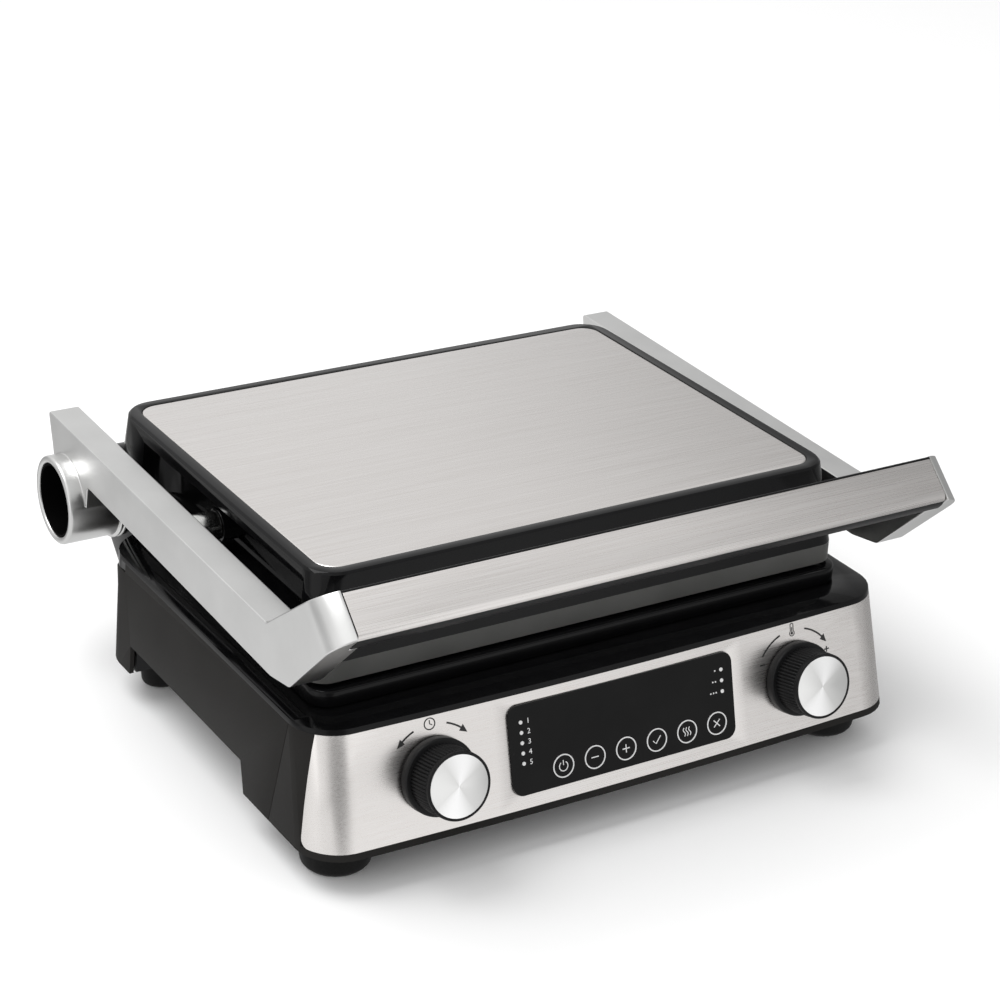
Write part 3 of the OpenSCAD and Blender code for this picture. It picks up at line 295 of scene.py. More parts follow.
def spunAluminium():
    # aluminium disc faced on a lathe: fine rings that fan the light out from the centre; two bright
    # wedges are painted highlight in its colour
    material, tree = newMaterial("spunAluminiumDisc")
    ringPhase = 230.0  # radians from the centre to the rim, about 37 rings
    paintedHighlightWedges, paintedHighlightTurn = 2, 120  # painted highlight: bright wedges in the colour, near one and seven o'clock
    around = addNode(tree, "ShaderNodeUVMap", {"uv_map": "fan"})
    parts = addNode(tree, "ShaderNodeSeparateXYZ", None, {"Vector": around.outputs["UV"]})
    rings = addNode(tree, "ShaderNodeMath", {"operation": "MULTIPLY", 1: ringPhase},
                    {0: parts.outputs["Y"]})
    wave = addNode(tree, "ShaderNodeMath", {"operation": "SINE"}, {0: rings.outputs["Value"]})
    fan = addNode(tree, "ShaderNodeMath",
                  {"operation": "MULTIPLY_ADD", 1: 2 * math.pi * paintedHighlightWedges,
                   2: math.radians(paintedHighlightTurn)}, {0: parts.outputs["X"]})
    paintedWedgeShade = addNode(tree, "ShaderNodeMath", {"operation": "SINE"}, {0: fan.outputs["Value"]})
    # painted highlight: the colour is lighter in two wedges round the disc and darker between them
    colour = tint(tree, paintedWedgeShade.outputs["Value"], "#dededd", "#ffffff", -1.0, 1.0)
    bump = relief(tree, wave.outputs["Value"], 0.004, 0.4)
    tangent = addNode(tree, "ShaderNodeTangent", {"direction_type": "UV_MAP", "uv_map": "fan"})
    finishMaterial(tree, {"Metallic": 1, "Roughness": 0.27, "Anisotropic": 0.85},
                   {"Base Color": colour.outputs["Color"], "Normal": bump.outputs["Normal"],
                    "Tangent": tangent.outputs["Tangent"]})
    return material


finishes = {
    "brushed_steel": brushedSteel(),
    "cast_aluminium": castAluminium(),
    "cut_aluminium": cutEdgeWithPaintedHighlight("diamondCutAluminiumPaintedHighlight"),
    "cut_steel": cutEdgeWithPaintedHighlight("groundStainlessEdgePaintedHighlight"),
    "spun_aluminium": spunAluminium(),
    "black_gloss": glossBlack(),
    "black_matt": texturedPlastic("texturedBlackNylon", "#0f0f10", "#151516", 0.45, 0.5),
    "deep_black": texturedPlastic("mouldedBlackSleeve", "#030303", "#050505", 0.6, 0.5, 0.02),
    "grey_plastic": texturedPlastic("texturedGreyAbs", "#232221", "#282726", 0.5, 0.5, 0.05),
    "window": windowAcrylic(),
    # the white print has a faint painted glow, not a lamp
    "print": plainPrint("whitePrintPaintedGlow", "#c9c9c9", "#dcdcdc", 0.12),
    "ink": plainPrint("blackScreenInk", "#1b1b1b", "#262626"),
    "terminal": texturedPlastic("ivoryTerminalPlastic", "#d3cfc4", "#dedacf", 0.45, 0.5),
    "tray_coating": texturedPlastic("blackTrayEnamel", "#1c1c1c", "#222222", 0.35, 0.9),
    "plate_coating": nonStickCoating(),
    "sheet_steel": sheetSteel(),
    "plated_steel": platedSteel(),
    "brass": turnedBrass(),
    "circuit_board": solderMask(),
    "rubber": siliconeRubber(),
}
print("materials made:", len(finishes))


# modelling helpers; sizes come in mm
def only(piece):
    if bpy.context.mode != "OBJECT":
        bpy.ops.object.mode_set(mode="OBJECT")
    bpy.ops.object.select_all(action="DESELECT")
    piece.select_set(True)
    bpy.context.view_layer.objects.active = piece


def edit(piece):
    # into edit mode, with all of it selected
    only(piece)
    bpy.ops.object.mode_set(mode="EDIT")
    bpy.ops.mesh.select_all(action="SELECT")


def done():
    bpy.ops.object.mode_set(mode="OBJECT")


def extrude(x=0.0, y=0.0, z=0.0):
    bpy.ops.mesh.extrude_region_move(TRANSFORM_OT_translate={"value": (x * mm, y * mm, z * mm)})


def outwards(piece):
    edit(piece)
    bpy.ops.mesh.normals_make_consistent(inside=False)
    done()


def filledOutline(points):
    # a filled circle with one corner for each point, each corner then put in its place
    bpy.ops.object.select_all(action="DESELECT")
    bpy.ops.mesh.primitive_circle_add(vertices=len(points), radius=1, fill_type="NGON")
    piece = bpy.context.object
    for vertex, place in zip(piece.data.vertices, points):
        vertex.co = Vector(place) * mm
    return piece


def lofted(name, levels):
    # levels are (ring, height); every ring has as many points
    ring, height = levels[0]
    piece = filledOutline([(x, y, height) for x, y in ring])
    piece.name = name
    edit(piece)
    for nextRing, nextHeight in levels[1:]:
        extrude(z=nextHeight - height)
        shape = bmesh.from_edit_mesh(piece.data)
        for vertex in [v for v in shape.verts if v.select]:
            at = vertex.co / mm
            nearest = min(range(len(ring)),
                          key=lambda k: (ring[k][0] - at.x) ** 2 + (ring[k][1] - at.y) ** 2)
            vertex.co = Vector((*nextRing[nearest], nextHeight)) * mm
        bmesh.update_edit_mesh(piece.data)
        ring, height = nextRing, nextHeight
    done()
    outwards(piece)
    return piece


def ringOf(width, front, back, radius, bow=0.0, turns=12, bowSteps=16):
    # a rounded outline seen from above, its front edge bowed
    half = width / 2 - radius
    across = [2 * k / bowSteps - 1 for k in range(bowSteps + 1)]
    points = [(s * half, -front + bow * s * s) for s in across]
    corners = [(half, -front + bow + radius, -90), (half, back - radius, 0),
               (-half, back - radius, 90), (-half, -front + bow + radius, 180)]
    for index, (x, y, start) in enumerate(corners):
        # the front edge already has the first corner's first point and the last corner's last
        first = 1 if index == 0 else 0
        last = turns - 1 if index == 3 else turns
        for k in range(first, last + 1):
            a = math.radians(start + 90 * k / turns)
            points.append((x + radius * math.cos(a), y + radius * math.sin(a)))
    return points


def drawn(name, outline, low, high):
    # an outline in Y and Z drawn out along X
    piece = filledOutline([(low, y, z) for y, z in outline])
    piece.name = name
    edit(piece)
    extrude(x=high - low)
    done()
    outwards(piece)
    return piece


def turned(name, section, steps=72):
    # a section of (along, radius) points spun round the X axis
    bpy.ops.object.select_all(action="DESELECT")
    bpy.ops.mesh.primitive_circle_add(vertices=len(section), radius=1, fill_type="NOTHING")
    piece = bpy.context.object
    piece.name = name
    for vertex, (along, radius) in zip(piece.data.vertices, section):
        vertex.co = (along * mm, 0, radius * mm)
    edit(piece)
    bpy.ops.mesh.spin(steps=steps, angle=2 * math.pi, center=(0, 0, 0), axis=(1, 0, 0))
    bpy.ops.mesh.select_all(action="SELECT")
    bpy.ops.mesh.remove_doubles(threshold=1e-6)
    bpy.ops.mesh.select_all(action="SELECT")
    bpy.ops.mesh.dissolve_degenerate(threshold=1e-6)
    bpy.ops.mesh.select_all(action="SELECT")
    bpy.ops.mesh.delete_loose(use_verts=True, use_edges=True, use_faces=False)
    done()
    outwards(piece)
    return piece


def put(piece, matrix):
    piece.data.transform(matrix)
    if matrix.determinant() < 0:
        outwards(piece)
    return piece


def move(x=0.0, y=0.0, z=0.0):
    return Matrix.Translation(Vector((x, y, z)) * mm)


def combine(piece, other, how="DIFFERENCE"):
    only(piece)
    tool = piece.modifiers.new("combine", "BOOLEAN")
    tool.operation = how
    tool.solver = "EXACT"
    tool.object = other
    bpy.ops.object.modifier_apply(modifier=tool.name)
    bpy.data.objects.remove(other)


def bevelEdges(piece, width, segments=3, angle=32, slotIndex=-1, clamp=True):
    only(piece)
    tool = piece.modifiers.new("edges", "BEVEL")
    tool.width = width * mm
    tool.segments = segments
    tool.limit_method = "ANGLE"
    tool.angle_limit = math.radians(angle)
    tool.use_clamp_overlap = clamp
    tool.material = slotIndex
    tool.miter_outer = "MITER_ARC"
    bpy.ops.object.modifier_apply(modifier=tool.name)
    return piece


def smooth(piece, angle=35):
    only(piece)
    bpy.ops.object.shade_smooth_by_angle(angle=math.radians(angle))


def coat(piece, *names):
    piece.data.materials.clear()
    for name in names:
        piece.data.materials.append(finishes[name])


def finished(piece, body, slotName, *replaced, angle=35):
    # shaded, coated unless it has a finish already, and riding on its body
    smooth(piece, angle)
    if not piece.data.materials:
        coat(piece, slotName)
    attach(piece, body)
    if replaced:
        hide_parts(*replaced)


def softened(node, name, width, slotIndex=-1, weld=0.02, flatWithin=0.5):
    # a copy of a CAD node, its loose triangles merged and its edges broken
    piece = bpy.data.objects.new(name, nodes[node].data.copy())
    bpy.context.scene.collection.objects.link(piece)
    piece.data.materials.clear()
    edit(piece)
    bpy.ops.mesh.remove_doubles(threshold=weld * mm)
    bpy.ops.mesh.select_all(action="SELECT")
    bpy.ops.mesh.dissolve_limited(angle_limit=math.radians(flatWithin))
    done()
    return bevelEdges(piece, width, segments=2, slotIndex=slotIndex)


# the base's walls, which lean in from foot to rim; fronts and backs are distances from the middle
panelFrame = {
    "footFront": 147.4,
    "rimFront": 131.8,
    "footWidth": 356.2,
    "rimWidth": 349.0,
    "footZ": 19.7,
    "rimZ": 84.4,
    "back": 117.5,
    "radius": 24.0,
    "bow": 3.0,
    "steelLow": 23.3,
    "deckLow": 81.6,
}
lean = panelFrame["footFront"] - panelFrame["rimFront"]
tilt = math.atan(lean / (panelFrame["rimZ"] - panelFrame["footZ"]))
panelMiddle = (panelFrame["steelLow"] + panelFrame["deckLow"]) / 2


def rise(z, low, high):
    # what is low at the foot and high at the rim, at the height z
    p = panelFrame
    return low + (high - low) * (z - p["footZ"]) / (p["rimZ"] - p["footZ"])


def baseRing(inset, z):
    p = panelFrame
    return ringOf(rise(z, p["footWidth"], p["rimWidth"]) - 2 * inset,
                  rise(z, p["footFront"], p["rimFront"]) - inset,
                  p["back"] - inset, p["radius"] - inset, p["bow"])


def baseBlock(name, inset, low, high):
    return lofted(name, [(baseRing(inset, low), low), (baseRing(inset, high), high)])


def onPanel(x=0.0, up=0.0, out=0.0):
    # a place on the tilted face, measured from its middle
    front = rise(panelMiddle, panelFrame["footFront"], panelFrame["rimFront"])
    place = move(0, -front, panelMiddle)
    return place @ Matrix.Rotation(math.pi / 2 - tilt, 4, "X") @ move(x, up, out)


def panelDip(x):
    # how far the bowed face lies behind its middle
    half = panelFrame["rimWidth"] / 2 - panelFrame["radius"]
    return panelFrame["bow"] * (x / half) ** 2 * math.cos(tilt)


# every CAD piece gets its finish; the pieces below stand in for those that show
for sub in frame["record"]["subparts"]:
    coat(nodes[sub["node"]], sub["material_slot"])

# node: body, slot, width of the broken edge in mm, and where they differ from the slot's,
# the finish of the piece and of its edges
softPieces = {
    "base_housing": ("base", "grey_plastic", 0.8),
    "front_frame": ("base", "grey_plastic", 0.6),
    "top_deck": ("base", "black_gloss", 0.8),
    "plate_surround": ("base", "black_gloss", 1.0),
    "front_feet": ("base", "rubber", 1.2),
    "rear_feet": ("base", "rubber", 1.2),
    "power_inlet": ("base", "black_matt", 0.4),
    "hinge_bracket_left": ("base", "black_gloss", 0.8),
    "hinge_bracket_right": ("base", "black_gloss", 0.8),
    "drip_tray": ("tray", "tray_coating", 0.5),
    "lid_cover": ("lid", "black_gloss", 0.8),
    "lid_panel": ("lid", "brushed_steel", 0.5, "brushed_steel", "cut_steel"),
    "barrel_liners": ("handle_frame", "black_matt", 0.4, "deep_black"),
    "pivot_pins": ("handle_frame", "plated_steel", 0.4),
}
for node, (body, slotName, width, *coats) in softPieces.items():
    edgeSlot = 1 if len(coats) > 1 else -1
    piece = softened(node, node + "Soft", width, edgeSlot)
    coat(piece, *(coats or (slotName,)))
    finished(piece, body, slotName, node)
print("softened pieces made")


def arc(centre, radius, start, end, steps=10):
    angles = [math.radians(start + (end - start) * k / steps) for k in range(steps + 1)]
    return [(centre[0] + radius * math.cos(a), centre[1] + radius * math.sin(a)) for a in angles]


def join(name, pieces):
    bpy.ops.object.select_all(action="DESELECT")
    for piece in pieces:
        piece.select_set(True)
    bpy.context.view_layer.objects.active = pieces[0]
    bpy.ops.object.join()
    pieces[0].name = name
    return pieces[0]


# the steel wrap
steelWrap = {
    "thick": 1.2,
    "endLow": -124.5,  # where its ends stop along Y, at the foot and at the top
    "endHigh": -121.5,
    "windowUp": 1.0,
    "window": (136.0, 47.4, 6.0),  # width, height, corner radius
    "windowDeep": 10.0,
    "edge": 0.4,
    "corner": 5.0,
    "over": 2.0,  # how far its cutters reach past it
}


def makeSteelWrap(spec):
    low, high = panelFrame["steelLow"], panelFrame["deckLow"]
    over, windowHalf = spec["over"], spec["windowDeep"] / 2
    wrap = baseBlock("frontPanelSteel", 0, low, high)
    combine(wrap, baseBlock("hollow", spec["thick"], low - over, high + over))
    corner, back = spec["corner"], panelFrame["back"] + over
    behind = drawn("behind", [(spec["endLow"] - corner, low - over)]
                   + arc((spec["endLow"] - corner, low + corner), corner, -90, 0, steps=8)
                   + [(spec["endHigh"], high + over), (back, high + over), (back, low - over)],
                   -panelFrame["footWidth"], panelFrame["footWidth"])
    combine(wrap, behind)
    width, height, radius = spec["window"]
    ring = ringOf(width, height / 2, height / 2, radius, bowSteps=1)
    hole = lofted("hole", [(ring, -windowHalf), (ring, windowHalf)])
    combine(wrap, put(hole, onPanel(0, spec["windowUp"])))
    bevelEdges(wrap, spec["edge"], angle=30)
    finished(wrap, "base", "brushed_steel", "front_panel", angle=30)


makeSteelWrap(steelWrap)
print("steel wrap made")


# knobs: flange, ribbed skirt, dark rim and a spun cap
knobs = {
    "place": 110.0,  # from the middle of the panel
    "low": -0.56,
    "top": 22.44,
    "flange": 20.0,
    "flangeTop": 5.0,
    "edge": 0.9,
    "rib": 17.6,
    "ribDeep": 0.75,
    "ribs": 60,
    "ribTop": 20.0,
    "rim": 17.5,
    "cap": 16.2,
    "capDeep": 1.4,
    "capBelow": 0.15,
    "capGap": 0.05,
    "capEdge": 0.35,
    "dish": 0.25,
    "dishFlat": 0.4,
}
# what is spun round X is stood up to face out of the panel
alongToOut = Matrix.Rotation(-math.pi / 2, 4, "Y")


def ribRing(spec, shrink=0.0, samples=8):
    # rounded ribs with narrow grooves between them
    count = spec["ribs"] * samples
    points = []
    for k in range(count):
        a = 2 * math.pi * k / count
        dip = (0.5 + 0.5 * math.cos(spec["ribs"] * a)) ** 2
        r = spec["rib"] - shrink - spec["ribDeep"] * dip
        points.append((r * math.cos(a), r * math.sin(a)))
    return points


def makeKnob(side, name, node, body, spec):
    low, top, edge = spec["low"], spec["top"], spec["edge"]
    foot = [(low, 0), (low, spec["flange"] - edge / 2), (low + edge / 2, spec["flange"])]
    shoulder = [(spec["flangeTop"] - edge + y, spec["flange"] - edge + x)
                for x, y in arc((0, 0), edge, 0, 90, steps=5)]
    flange = put(turned("flange", foot + shoulder + [(spec["flangeTop"], 0)]), alongToOut)
    skirt = lofted("skirt", [(ribRing(spec), spec["flangeTop"] - edge),
                             (ribRing(spec), spec["ribTop"] - edge),
                             (ribRing(spec, edge), spec["ribTop"])])
    wall = spec["rim"] - spec["cap"]
    rimLow, seat = spec["ribTop"] - 3 * edge, top - spec["capDeep"]
    lip = [(top - wall / 2 + y, spec["rim"] - wall / 2 + x)
           for x, y in arc((0, 0), wall / 2, 0, 180, steps=8)]
    rim = turned("rim", [(rimLow, 0), (rimLow, spec["rim"] - edge)] + lip
                 + [(seat, spec["cap"]), (seat, 0)], steps=96)
    put(rim, alongToOut)
    piece = join(name, [flange, skirt, rim])
    put(piece, onPanel(side))
    finished(piece, body, "black_matt", node, angle=50)


def makeKnobCap(side, name, node, body, spec):
    top, radius = spec["top"] - spec["capBelow"], spec["cap"] - spec["capGap"]
    low, dish, edge = top - spec["capDeep"], top - spec["dish"], spec["capEdge"]
    shoulder = [(top - edge + y, radius - edge + x)
                for x, y in arc((0, 0), edge, 0, 90, steps=3)]
    cap = turned(name, [(low, 0), (low, radius)] + shoulder
                 + [(dish, spec["dishFlat"]), (dish, 0)], steps=128)
    # its UV map holds the turn round the disc and the share of its radius
    fan = cap.data.uv_layers.new(name="fan")
    for face in cap.data.polygons:
        turns = []
        for index in face.loop_indices:
            place = cap.data.vertices[cap.data.loops[index].vertex_index].co
            reach = math.hypot(place.y, place.z)
            turn = math.atan2(place.z, place.y) / (2 * math.pi) if reach > 1e-5 else None
            turns.append((index, turn, reach))
        known = [t for _, t, _ in turns if t is not None] or [0]
        wraps = max(known) - min(known) > 0.5  # across the start of the turn
        wrapped = [t + 1 if wraps and t < 0 else t for t in known]
        middle = sum(wrapped) / len(wrapped)
        for index, t, reach in turns:
            u = middle if t is None else (t + 1 if wraps and t < 0 else t)
            fan.data[index].uv = (u, reach / (radius * mm))
    put(put(cap, alongToOut), onPanel(side))
    finished(cap, body, "spun_aluminium", node, angle=30)


for which, body, word in ((-1, "time_dial", "time"), (1, "temp_dial", "temp")):
    makeKnob(which * knobs["place"], word + "RibbedKnob", word + "_knob", body, knobs)
    makeKnobCap(which * knobs["place"], word + "SpunCap", word + "_knob_cap", body, knobs)
print("knobs made")


# print on the panel and window
ink = {
    "thick": 0.06,
    "proud": 0.03,
    "windowProud": 0.5,
}


def stroke(points, width):
    # the outline of a line drawn with a pen of that width
    left, right = [], []
    for k, point in enumerate(points):
        before, after = points[max(k - 1, 0)], points[min(k + 1, len(points) - 1)]
        along = Vector((after[0] - before[0], after[1] - before[1])).normalized()
        left.append((point[0] - along.y * width / 2, point[1] + along.x * width / 2))
        right.append((point[0] + along.y * width / 2, point[1] - along.x * width / 2))
    return left + right[::-1]


def moved(outline, x, y):
    return [(px + x, py + y) for px, py in outline]


def inkOn(name, outlines, out, slotName, texts=()):
    # thin raised print: outlines in panel millimetres, each text a (word, x, up, size)
    thick = ink["thick"]
    marks = []
    for outline in outlines:
        mark = filledOutline([(x, y, 0) for x, y in outline])
        edit(mark)
        extrude(z=thick)
        done()
        marks.append(mark)
    for word, x, up, size in texts:
        bpy.ops.object.select_all(action="DESELECT")
        bpy.ops.object.text_add()
        letter = bpy.context.object
        letter.data.body = word
        letter.data.size = size * mm
        letter.data.extrude = thick / 2 * mm
        letter.data.align_x = "CENTER"
        letter.data.align_y = "CENTER"
        only(letter)
        bpy.ops.object.convert(target="MESH")
        letter.data.materials.clear()
        put(letter, move(x, up, thick / 2))
        marks.append(letter)
    piece = join(name, marks)
    for vertex in piece.data.vertices:
        vertex.co.z += (out - panelDip(vertex.co.x / mm)) * mm
    outwards(piece)
    put(piece, onPanel())
    finished(piece, "base", slotName)
    return piece


knobMarks = {
    "radius": 26.3,
    "line": 0.95,
    "head": 1.9,  # half of an arrowhead's width
    "headTurn": 9,  # its length in degrees, and the share of it that laps the arc
    "headLap": 0.1,
    # each arc's knob, its start and end in degrees, and whether it has an arrowhead
    "sweeps": ((-1, 111.6, 129, True), (-1, 71, 51, True),
               (1, 143, 109.5, False), (1, 73, 43, True)),
    "sign": (1.6, 0.75),  # half its width, and its line
    "signAt": 24.2,
    "plusAngle": 26,
    "minusAngle": 152,
    "pictureAt": 26.4,
    "pictureAngle": 91.5,
}


def sweepMark(x, spec, start, end, headed=True):
    # a bold arc round a knob, with an arrowhead at its end
    r, turn = spec["radius"], math.copysign(spec["headTurn"], end - start)
    shapes = [stroke(arc((0, 0), r, start, end, steps=14), spec["line"])]
    if headed:
        tip, base = math.radians(end + turn), math.radians(end - turn * spec["headLap"])
        shapes.append([(r * math.cos(tip), r * math.sin(tip))]
                      + [((r + k) * math.cos(base), (r + k) * math.sin(base))
                         for k in (spec["head"], -spec["head"])])
    return [moved(shape, x, 0) for shape in shapes]


def plusSign(size, line):
    return [stroke([(-size, 0), (size, 0)], line), stroke([(0, -size), (0, size)], line)]


def minusSign(size, line):
    return [stroke([(-size, 0), (size, 0)], line)]


def atAngle(shapes, x, radius, angle):
    a = math.radians(angle)
    return [moved(shape, x + radius * math.cos(a), radius * math.sin(a)) for shape in shapes]


# the pictures and signs are drawn in mm round their own middles
clockPicture = [
    stroke(arc((0, 0), 2.9, 92, 448, steps=32), 0.6),
    stroke([(0, 1.9), (0, 0), (1.4, -0.8)], 0.55),
]
thermometerPicture = [
    stroke(arc((0, 2.4), 0.95, 0, 180), 0.5),
    stroke([(-0.95, 2.4), (-0.95, -0.9)], 0.5),
    stroke([(0.95, 2.4), (0.95, -0.9)], 0.5),
    stroke(arc((0, -2.1), 1.5, 130, 410, steps=20), 0.5),
    arc((0, -2.1), 0.75, 0, 350, steps=14),
    stroke([(0, -2), (0, 1.2)], 0.55),
]


def knobPrint(spec, apart):
    shapes = []
    for which, picture in ((-1, clockPicture), (1, thermometerPicture)):
        shapes += atAngle(picture, which * apart, spec["pictureAt"], spec["pictureAngle"])
    for which, start, end, headed in spec["sweeps"]:
        shapes += sweepMark(which * apart, spec, start, end, headed)
    shapes += atAngle(plusSign(*spec["sign"]), apart, spec["signAt"], spec["plusAngle"])
    shapes += atAngle(minusSign(*spec["sign"]), apart, spec["signAt"], spec["minusAngle"])
    inkOn("knobPrint", shapes, ink["proud"], "ink")


knobPrint(knobMarks, knobs["place"])

keys = {
    "first": -38.2,
    "pitch": 18.9,
    "up": -12.6,
}
keySigns = [
    [stroke(arc((0, -0.2), 2.5, 125, 415, steps=24), 0.5), stroke([(0, 0.4), (0, 3)], 0.5)],
    minusSign(2.2, 0.55),
    plusSign(2.2, 0.55),
    [stroke([(-2.3, -0.1), (-0.6, -1.9), (2.5, 1.9)], 0.55)],
    [stroke([(x + 0.6 * math.sin(k * math.pi / 6), -2.3 + k * 0.385) for k in range(13)], 0.5)
     for x in (-1.7, 0, 1.7)],
    [stroke([(-1.9, -1.9), (1.9, 1.9)], 0.55), stroke([(-1.9, 1.9), (1.9, -1.9)], 0.55)],
]
# beside the lights: numerals on the left, rows of one to three pips on the right
legends = {
    "top": 15.7,
    "numerals": 5,
    "numeralX": -56.6,
    "numeralPitch": 5.4,
    "numeralSize": 3.9,
    "rows": 3,
    "pipX": 57.2,
    "pipApart": 1.7,
    "rowPitch": 5.9,
    "pip": 0.45,
}


def windowPrint(keySpec, spec):
    shapes = []
    for index, sign in enumerate(keySigns):
        x = keySpec["first"] + index * keySpec["pitch"]
        shapes += [moved(shape, x, keySpec["up"]) for shape in sign]
    for index in range(spec["rows"]):
        for pip in range(index + 1):
            dot = arc((0, 0), spec["pip"], 0, 340, steps=12)
            shapes.append(moved(dot, spec["pipX"] - spec["pipApart"] * pip,
                                spec["top"] - spec["rowPitch"] * index))
    numerals = [(str(index + 1), spec["numeralX"], spec["top"] - spec["numeralPitch"] * index,
                 spec["numeralSize"]) for index in range(spec["numerals"])]
    marks = inkOn("windowPrint", shapes, ink["windowProud"] + ink["proud"], "print", numerals)
    # the window is flat, so the bow is taken out again
    back = onPanel().inverted()
    for vertex in marks.data.vertices:
        place = back @ vertex.co
        place.z += panelDip(place.x / mm) * mm
        vertex.co = onPanel() @ place


windowPrint(keys, legends)
print("print made")


# handle bar: steel face rolled over its lower edge, black core behind
handleBar = {
    "origin": (0, -162.4, 165.5),  # the middle of its face
    "angle": 42.76,
    "half": 12.665,
    "deep": 14.0,
    "steel": 1.2,
    "steelTop": 11.4,
    "steelLow": 11.9,
    "roll": 3.6,
    "ease": (0.15, 0.5),  # the steel's upper edge
    "steelEdge": 0.2,
    "steelEnd": 171.55,
    "gap": 0.05,
    "coreEdge": 0.9,
    "chin": ((0.25, 1.8), (0.0, 3.5)),  # in from its lower side, and down from the roll
    "backRadius": 4.0,
    "coreEnd": 171.95,
}


def onHandle(spec):
    return move(*spec["origin"]) @ Matrix.Rotation(math.radians(spec["angle"]), 4, "X")


def makeHandle(spec):
    roll, steel, half, deep = spec["roll"], spec["steel"], spec["half"], spec["deep"]
    low, top, gap = -spec["steelLow"] + roll, spec["steelTop"], spec["gap"]
    less, more = spec["ease"]
    face = [(top, -steel), (top, -more), (top - less, -less), (top - more, 0)]
    face += arc((low, -roll), roll, 90, 180, steps=12)
    face += arc((low, -roll), roll - steel, 180, 90, steps=12)
    piece = put(drawn("handleSteel", face, -spec["steelEnd"], spec["steelEnd"]), onHandle(spec))
    bevelEdges(piece, spec["steelEdge"], segments=2, angle=50)
    finished(piece, "handle_frame", "brushed_steel", "handle_face", angle=30)
    edge, back = spec["coreEdge"], spec["backRadius"]
    core = arc((half - edge, -edge), edge, 0, 90, steps=5)
    core += [(top + 2 * gap, 0), (top + 2 * gap, -steel - gap)]
    core += arc((low, -roll), roll - steel - gap, 90, 180, steps=12)
    core += [(-spec["steelLow"] - gap, -roll - 2 * gap)]
    core += [(-half + inward, -roll - down) for inward, down in spec["chin"]]
    core += arc((-half + back, -deep + back), back, 180, 270, steps=8)
    core += arc((half - back, -deep + back), back, 270, 360, steps=8)
    piece = put(drawn("handleBacking", core, -spec["coreEnd"], spec["coreEnd"]), onHandle(spec))
    finished(piece, "handle_frame", "black_matt", "handle_core", angle=30)


makeHandle(handleBar)
print("handle made")


# arms: a bent plate with a curved front cap, and an open barrel with two collar rings
arms = {
    "low": 167.0,
    "high": 184.0,
    "seam": 172.0,
    # corners (y, z, radius), the front ones 1 mm ahead of the cap's cut
    "plate": ((-153.78, 174.83, 0), (-172.38, 157.63, 0), (-125.2, 112.7, 7), (-104.5, 109.3, 20),
              (118.0, 117.2, 3.5), (121.5, 100.0, 0), (145.5, 100.0, 0), (170.4, 102.0, 0),
              (164.8, 118.0, 12), (170.5, 143.0, 2.2), (-100.5, 136.0, 4)),
    "back": 18.0,  # how far the cap curls back from the handle's face
    "bulge": 4.0,  # of the cap over its chord
    # (x, radius) of the barrel and its two collar rings
    "barrel": ((159, 0), (159, 26.1), (159.5, 26.6), (160.5, 26.6), (160.9, 26.1), (161.5, 26.1),
               (161.9, 26.6), (162.7, 26.6), (163.2, 26.1), (163.2, 25), (192, 25), (193, 24),
               (193, 21.6), (192.4, 21), (168, 21), (168, 0)),
    "hinge": (145.5, 100.0),
    "bore": 21.0,
    "edge": 0.6,
    "gap": 0.4,  # round the handle bar's end
    "over": 8.0,  # how far its cutters reach past it
}


def rounded(corners, steps=7):
    # the corners' outline, each with its own radius
    points = []
    for k, (y, z, radius) in enumerate(corners):
        here = Vector((y, z))
        if not radius:
            points.append((y, z))
            continue
        before = (Vector(corners[k - 1][:2]) - here).normalized()
        after = (Vector(corners[(k + 1) % len(corners)][:2]) - here).normalized()
        half = before.angle(after) / 2
        centre = here + (before + after).normalized() * radius / math.sin(half)
        start = here + before * radius / math.tan(half) - centre
        stop = here + after * radius / math.tan(half) - centre
        turn = math.atan2(start.x * stop.y - start.y * stop.x, start.dot(stop))
        for i in range(steps + 1):
            c, s = math.cos(turn * i / steps), math.sin(turn * i / steps)
            points.append((centre.x + c * start.x - s * start.y,
                           centre.y + s * start.x + c * start.y))
    return points


def capCurve(spec, steps=14):
    # from the seam on the handle's face to the arm's side, as (x, out)
    across, back = spec["high"] - spec["seam"], spec["back"]
    chord = math.hypot(across, back)
    radius = (chord * chord / 4 + spec["bulge"] ** 2) / (2 * spec["bulge"])
    sweep = math.asin(chord / 2 / radius)
    points = []
    for k in range(steps + 1):
        a = sweep * (2 * k / steps - 1)
        along = chord / 2 + radius * math.sin(a)
        off = radius * math.cos(a) - radius * math.cos(sweep)
        points.append((spec["seam"] + (along * across + off * back) / chord,
                       (-along * back + off * across) / chord))
    return points


